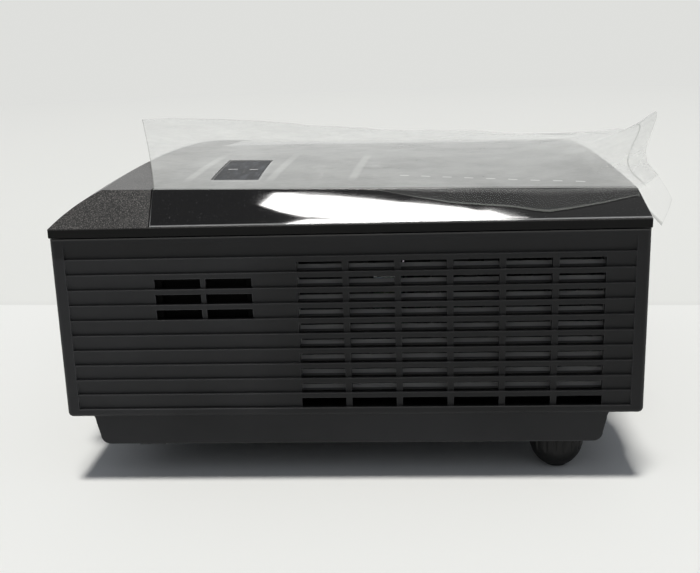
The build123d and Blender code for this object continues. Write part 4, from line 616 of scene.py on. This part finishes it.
# ---------------------------------------------------------------- loose film, in millimetres
# Rows across the film: y, then places along it as x and height above the top.
FILM_ROWS = (
    (-130.4, ((-84, 0.0), (-40, 0.0), (20, 0.0), (80, 0.0), (112, 0.0), (127, 0.4), (133.5, 4.6))),
    (-100, ((-92, 0.4), (-50, 0), (20, 0), (80, 0), (112, 1.4), (126, 4.0), (135, 8.0))),
    (-60, ((-103, 0.8), (-60, 0), (20, 0), (80, 0.2), (114, 3.5), (139.2, 14.6), (148.6, 21.3))),
    (-20, ((-114, 2.0), (-70, 0), (20, 0), (80, 0.6), (115, 3.4), (135, 7.0), (146, 10.0))),
    (30, ((-128, 5.7), (-85, 1.5), (-30, 0), (60, 0.8), (100, 2.0), (128, 4.4), (143, 6.2))),
    (95, ((-146.4, 13.4), (-85, 12.5), (-10, 6.8), (55, 4.4), (95, 2.9), (118, 1.6), (131, 1.0))),
)
# Down the sloping side: x, and how far below the top's near edge the film ends.
FILM_HANG = ((-84, 0.25), (0, 0.3), (15, 0.8), (30, 3.4), (46, 5.8), (60, 6.7), (71.5, 7.4), (80, 8.7),
             (86.5, 9.3), (96, 8.1), (110, 5.9), (122.5, 3.4), (125, 3.2))
# The loose corner's outer edge past the rear end, from its top down, as x and z.
FILM_FLAP = ((133.5, 136.4), (136.7, 131.9), (139.3, 128.7), (138.6, 125.5), (137.9, 122.3),
             (136.4, 119.0), (135.3, 116.0))
HANG_SHARES = (1.0, 0.95, 0.9, 0.75, 0.6, 0.4, 0.2)
FLAP_REACH = 8.5            # from the top's rear end to the loose corner's edge
FILM_CLEAR = 0.45           # between the film and the top where it lies flat
FILM_CREASE = 0.85          # share of the film's length at which a crease crosses it
CREASE_HALF = 0.006
FILM_STEPS = (120, 90)      # along X and along Y
FILM_STRIPS = (0.003, 0.004)  # shares of its length and width that its end strips take
WAVES = ((0.022, 0.03, 3.1, 1.0), (0.07, 0.05, 7.7, 0.5))  # steps along X and Y, seed and height
WAVE_SHIFT = 0.25
WAVE_LYING = 0.22           # height of the waves where it lies, and what is added where it stands
WAVE_STANDING = 0.9
STANDS_FROM = 3.0           # height over the top from which it counts as standing free
HANG_CLEAR = 0.45           # from the sloping side, and what its lower end adds
HANG_SWELL = 0.15
HANG_RISE = 0.58
FLAP_CLEAR = 0.8
FLAP_RISE = 0.3
FLAP_SLOPE = 0.6
FLAP_SWING = 1.2
FLAP_BEND = 0.8             # power that bends its rows
EDGE_SHARE = 0.0016         # of the film's length, at each end, that shows as cut edge
WINDOW_GAP = 1.0


def smooth(a, b, c, d, t):
    """Catmull-Rom between b and c."""
    squared = (2 * a - 5 * b + 4 * c - d) * t * t
    return 0.5 * (2 * b + (c - a) * t + squared + (3 * b - a - 3 * c + d) * t ** 3)


def along(values, share):
    """Smooth reading of a list at a share of its length."""
    last = len(values) - 1
    spot = min(max(share, 0.0), 1.0) * last
    i = min(int(spot), last - 1)
    around = [values[min(max(k, 0), last)] for k in (i - 1, i, i + 1, i + 2)]
    return smooth(*around, spot - i)


def straight(pairs, value):
    """Straight reading of a table of pairs."""
    for (a, low), (b, high) in zip(pairs, pairs[1:]):
        if value <= b:
            return low + (high - low) * max(0.0, (value - a) / (b - a))
    return pairs[-1][1]


def film_shares(steps, fine):
    """Even shares from 0 to 1 with narrow strips at both ends, for the dark cut edge."""
    inner = [fine + (1 - 2 * fine) * i / steps for i in range(steps + 1)]
    return [0.0, fine / 2] + inner + [1 - fine / 2, 1.0]


def at_end(s):
    return s < EDGE_SHARE or s > 1 - EDGE_SHARE


def crease_share(s, t):
    """How strongly a spot of the film lies on its crease, which is fainter by the near edge."""
    standing = 1 - abs(s - FILM_CREASE) / CREASE_HALF
    return max(0.0, standing) * (0.9 if t > 0.02 else 0.4)


def ripple(x, y, lift, t):
    """Small waves, deeper where the film stands free, and none along the fold at its near edge."""
    waves = sum(height * noise.noise(Vector((x * a, y * b, seed))) for a, b, seed, height in WAVES)
    deep = WAVE_LYING + WAVE_STANDING * min(1.0, lift / STANDS_FROM)
    return max(0.0, deep * (waves + WAVE_SHIFT) * min(1.0, t * 12))


def film_over_top(shares):
    """The film's points over the top, row by row from the near edge, and how dark each one is."""
    rows, marks = [], []
    for t in film_shares(FILM_STEPS[1], FILM_STRIPS[1])[2:]:
        y = along([row[0] for row in FILM_ROWS], t)
        row, mark = [], []
        for s in shares:
            x = along([along([p[0] for p in line[1]], s) for line in FILM_ROWS], t)
            lifts = [max(0.0, along([p[1] for p in line[1]], s)) for line in FILM_ROWS]
            lift = max(0.0, along(lifts, t))
            row.append(Vector((x, y, top_z(x, y) + FILM_CLEAR + lift + ripple(x, y, lift, t))))
            mark.append(1.0 if at_end(s) or t > 0.997 else crease_share(s, t))
        rows.append(row)
        marks.append(mark)
    return rows, marks


def hang_point(x, share):
    """A point of the film where it lies down the sloping side."""
    drop = straight(FILM_HANG, x) * share
    slope = FACET_RUN / (roof_z(x) - FACET_Z)
    out = HANG_CLEAR + HANG_SWELL * share
    return Vector((x, -TOP_HALF - drop * slope - out, roof_z(x) - drop + out * HANG_RISE))


def flap_point(x_near, share):
    """A point of the film's loose corner, past the top's rear end."""
    end = TAIL[0]
    reach = (x_near - end) / FLAP_REACH
    low_x, low_z = (along([p[k] for p in FILM_FLAP], share) for k in (0, 1))
    drop = straight(FILM_HANG, end) * share
    z_near = roof_z(end) - drop + FLAP_RISE
    z = z_near + (low_z - z_near) * min(1.0, reach) ** FLAP_BEND
    y = -TOP_HALF - FLAP_CLEAR - drop * FLAP_SLOPE * (1 - reach) - FLAP_SWING * reach * share
    return Vector((end + (low_x - end) * reach, y, z))


def film_down_side(near, shares):
    """The film's points below the top's near edge, row by row from its lowest, and their edges."""
    rows, marks = [], []
    for share in HANG_SHARES:
        rows.append([hang_point(point.x, share) if point.x <= TAIL[0] else flap_point(point.x, share)
                     for point in near])
        marks.append([1.0 if share > 0.94 or at_end(s) else 0.0 for s in shares])
    return rows, marks


def cut_window(mesh):
    """Opens the film over the display window and a little past it all round."""
    bounds = [(low - WINDOW_GAP, high + WINDOW_GAP) for low, high in WINDOW]
    for axis, pair in enumerate(bounds):
        for value in pair:
            normal = Vector((0, 0, 0))
            normal[axis] = 1
            everything = mesh.verts[:] + mesh.edges[:] + mesh.faces[:]
            bmesh.ops.bisect_plane(mesh, geom=everything, plane_co=normal * value, plane_no=normal)
    inside = []
    for face in mesh.faces:
        middle = face.calc_center_median()
        if all(low < middle[axis] < high for axis, (low, high) in enumerate(bounds)):
            inside.append(face)
    bmesh.ops.delete(mesh, geom=inside, context="FACES")


def film_mesh():
    """The film as one grid: over the top, and down the sloping side at its near edge."""
    crease = [FILM_CREASE - CREASE_HALF, FILM_CREASE, FILM_CREASE + CREASE_HALF]
    shares = sorted(film_shares(FILM_STEPS[0], FILM_STRIPS[0]) + crease)
    top_rows, top_marks = film_over_top(shares)
    side_rows, side_marks = film_down_side(top_rows[0], shares)
    mesh = bmesh.new()
    layer = mesh.verts.layers.float.new("edge")
    grid = []
    for row, mark in zip(side_rows + top_rows, side_marks + top_marks):
        made = [mesh.verts.new(point) for point in row]
        for vert, value in zip(made, mark):
            vert[layer] = value
        grid.append(made)
    for a, b in zip(grid, grid[1:]):
        for i in range(len(shares) - 1):
            mesh.faces.new((a[i], a[i + 1], b[i + 1], b[i]))
    cut_window(mesh)
    for face in mesh.faces:
        face.smooth = True
    return mesh


# ---------------------------------------------------------------- stage, light, camera
WALL_COLOUR = rgb(0.735, 0.74, 0.72)
# The table's far edge, in metres: it lies at a slant across the picture.
TABLE_LEAN = 0.0529
TABLE_END = (0.1565, 0.1585)
TABLE_LINE = ((0.157, 0.1585), (0.1585, 0.172))
EVEN_FROM = (0.7, 2.6)
FLOOR = ((-6, -4, 0), (6, -4, 0), (6, 8, 0), (-6, 8, 0))
SUN_WAY = (0.03, 0.14, -1.0)
SUN_STRENGTH = 2.5
SUN_SPREAD = math.radians(10.0)
SUN_COLOUR = (1.0, 0.985, 0.955)
CARD_STRENGTH = 30.0
CARD_AWAY = 1500.0          # in millimetres
# The white patch in the frame: across, then its upper and its lower end, in pixels.
HIGHLIGHT = ((259.6, 207.6, 208.0), (274, 191.8, 212), (285, 192.2, 215.5), (300, 192.9, 223.6),
             (312, 193.3, 229), (340, 195, 229), (370, 197.5, 228.5), (398, 201, 228),
             (430, 204, 227), (470, 209, 224.5), (505, 214, 221.6), (533, 218.4, 219.4))
# The camera in millimetres, and its focal length and middle in pixels of a frame so many wide.
EYE = Vector((26.9, -559.9, 204.0))
EYE_TURN = (-3.48, 14.77, 1.77)     # yaw, pitch down and roll, in degrees
FOCAL = 1000.0
MIDDLE = (350.0, 286.5)
FRAME_WIDE = 700.0
SENSOR_WIDE = 36.0


def stage_plane(name, points, material, faces=None):
    mesh = bpy.data.meshes.new(name)
    mesh.from_pydata(points, [], faces or [tuple(range(len(points)))])
    thing = bpy.data.objects.new(name, mesh)
    bpy.context.scene.collection.objects.link(thing)
    mesh.materials.append(material)
    return thing


def floor_finish():
    """Pale table as far as a line behind the object, a shade darker beyond it, and even far off."""
    f = Finish("stage_floor")
    spot = f.spot()
    behind = f.total(spot["Y"], f.product(spot["X"], TABLE_LEAN))
    large = f.remap(f.noise(1.4, 3.0, 0.5), 0.3, 0.7)
    table = f.mix(large, rgb(0.845, 0.85, 0.83), rgb(0.865, 0.87, 0.85))
    base = f.mix(f.remap(behind, *TABLE_END), table, rgb(0.79, 0.795, 0.77))
    base = f.mix(f.product(f.between(behind, *TABLE_LINE), 0.3), base, rgb(0.68, 0.68, 0.67))
    away = f.add("VectorMath", {0: f.place()}, operation="LENGTH").outputs["Value"]
    far = f.product(f.remap(away, *EVEN_FROM), f.add("LightPath").outputs["Is Camera Ray"])
    near = f.add("BsdfPrincipled", {"Base Color": base, "Roughness": 0.8, "Specular IOR Level": 0.1})
    even = f.add("Emission", {"Color": WALL_COLOUR, "Strength": 1.0})
    both = f.add("MixShader", {0: far, 1: near.outputs[0], 2: even.outputs[0]})
    f.add("OutputMaterial", {"Surface": both.outputs[0]})
    return f.material


def card_finish(strength):
    f = Finish("stage_card")
    glow = f.add("Emission", {"Color": rgb(1.0, 0.99, 0.97), "Strength": strength})
    f.add("OutputMaterial", {"Surface": glow.outputs[0]})
    return f.material


def camera_axes():
    yaw, pitch, roll = (math.radians(a) for a in EYE_TURN)
    ahead = Vector((math.sin(yaw) * math.cos(pitch), math.cos(yaw) * math.cos(pitch), -math.sin(pitch)))
    level = Vector((math.cos(yaw), -math.sin(yaw), 0.0))
    down = ahead.cross(level)
    right = level * math.cos(roll) + down * math.sin(roll)
    down = -level * math.sin(roll) + down * math.cos(roll)
    return right, down, ahead


def pixel_ray(px, py):
    right, down, ahead = camera_axes()
    return (right * ((px - MIDDLE[0]) / FOCAL) + down * ((py - MIDDLE[1]) / FOCAL) + ahead).normalized()


def place_camera():
    right, down, ahead = camera_axes()
    data = bpy.data.cameras.new("camera")
    data.sensor_width = SENSOR_WIDE
    data.lens = FOCAL / FRAME_WIDE * SENSOR_WIDE
    data.clip_start = 0.01
    thing = bpy.data.objects.new("camera", data)
    bpy.context.scene.collection.objects.link(thing)
    rows = Matrix((right, -down, -ahead)).transposed()
    thing.matrix_world = Matrix.Translation(EYE * MM) @ rows.to_4x4()
    bpy.context.scene.camera = thing


def facet_spot(px, py):
    """Where a pixel's ray meets the near slope of the top, the slope's normal there, and the ray."""
    ray = pixel_ray(px, py)
    fall = (TAIL[1] - NOSE[1]) / (TAIL[0] - NOSE[0])
    x, up = 0.0, 0.5
    for _ in range(6):
        rise = roof_z(x) - FACET_Z
        normal = Vector((-FACET_RUN * up * fall, -rise, FACET_RUN)).normalized()
        spot = Vector((x, NEAR + FACET_RUN * up, FACET_Z + rise * up))
        hit = EYE + ray * ((spot - EYE).dot(normal) / ray.dot(normal))
        x, up = hit.x, (hit.y - NEAR) / FACET_RUN
    return hit, normal, ray


def highlight_card():
    """Lit panel whose mirror image is the white patch on the near slope of the top."""
    ways = []
    for px, high, low in HIGHLIGHT:
        for py in (high, low):
            hit, normal, ray = facet_spot(px, py)
            ways.append((hit, ray - normal * (2 * ray.dot(normal))))
    middle = sum((hit + way * CARD_AWAY for hit, way in ways), Vector()) / len(ways)
    facing = sum((way for hit, way in ways), Vector()).normalized()
    points = [(hit + way * ((middle - hit).dot(facing) / way.dot(facing))) * MM for hit, way in ways]
    strips = [(i, i + 2, i + 3, i + 1) for i in range(0, len(points) - 2, 2)]
    card = stage_plane("stage_card", points, card_finish(CARD_STRENGTH), strips)
    for kind in ("camera", "diffuse", "transmission", "volume_scatter", "shadow"):
        setattr(card, "visible_" + kind, False)


def sun_light():
    data = bpy.data.lights.new("sun", "SUN")
    data.energy = SUN_STRENGTH
    data.angle = SUN_SPREAD
    data.color = SUN_COLOUR
    thing = bpy.data.objects.new("sun", data)
    bpy.context.scene.collection.objects.link(thing)
    thing.matrix_world = Vector(SUN_WAY).to_track_quat("-Z", "Y").to_matrix().to_4x4()


def room():
    """Pale room, its soft light mostly from above; mirrors see it dimmer halfway up on the near side."""
    world = bpy.data.worlds.new("world")
    bpy.context.scene.world = world
    world.use_nodes = True
    n = Nodes(world.node_tree)

    def band(value, low, high, to_low, to_high):
        return n.remap(value, low, high, to_low, to_high, interpolation_type="SMOOTHSTEP")

    way = n.add("SeparateXYZ", {0: n.add("TexCoord").outputs["Generated"]}).outputs
    near_side = band(way["Y"], -0.3, 0.1, 1.0, 0.0)
    above_low = band(way["Z"], 0.38, 0.5, 0.0, 1.0)
    below_high = band(way["Z"], 0.82, 0.93, 1.0, 0.0)
    dim = n.product(above_low, below_high, near_side)
    seen = n.mix(dim, rgb(0.76, 0.765, 0.76), rgb(0.24, 0.24, 0.25))
    from_above = band(way["Z"], 0.0, 0.6, 0.08, 0.26)
    even = n.add("Background", {"Color": rgb(0.93, 0.98, 1.07), "Strength": from_above})
    back = n.add("Background", {"Color": WALL_COLOUR, "Strength": 1.0})
    mirror_side = n.add("Background", {"Color": seen, "Strength": 1.0})
    path = n.add("LightPath").outputs
    first = n.add("MixShader", {0: path["Is Glossy Ray"], 1: even.outputs[0], 2: mirror_side.outputs[0]})
    clear = n.highest(path["Is Camera Ray"], path["Is Transmission Ray"])
    last = n.add("MixShader", {0: clear, 1: first.outputs[0], 2: back.outputs[0]})
    n.add("OutputWorld", {"Surface": last.outputs[0]})


key_marks()
window_dashes()
eject_mark()
socket_trim()
rocker_marks()
film = piece("loose_film", film_mesh(), "film", "case")
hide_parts("protective_film")

stage_plane("stage_floor", FLOOR, floor_finish())
highlight_card()
sun_light()
room()
place_camera()
bpy.context.scene.view_settings.view_transform = "Standard"
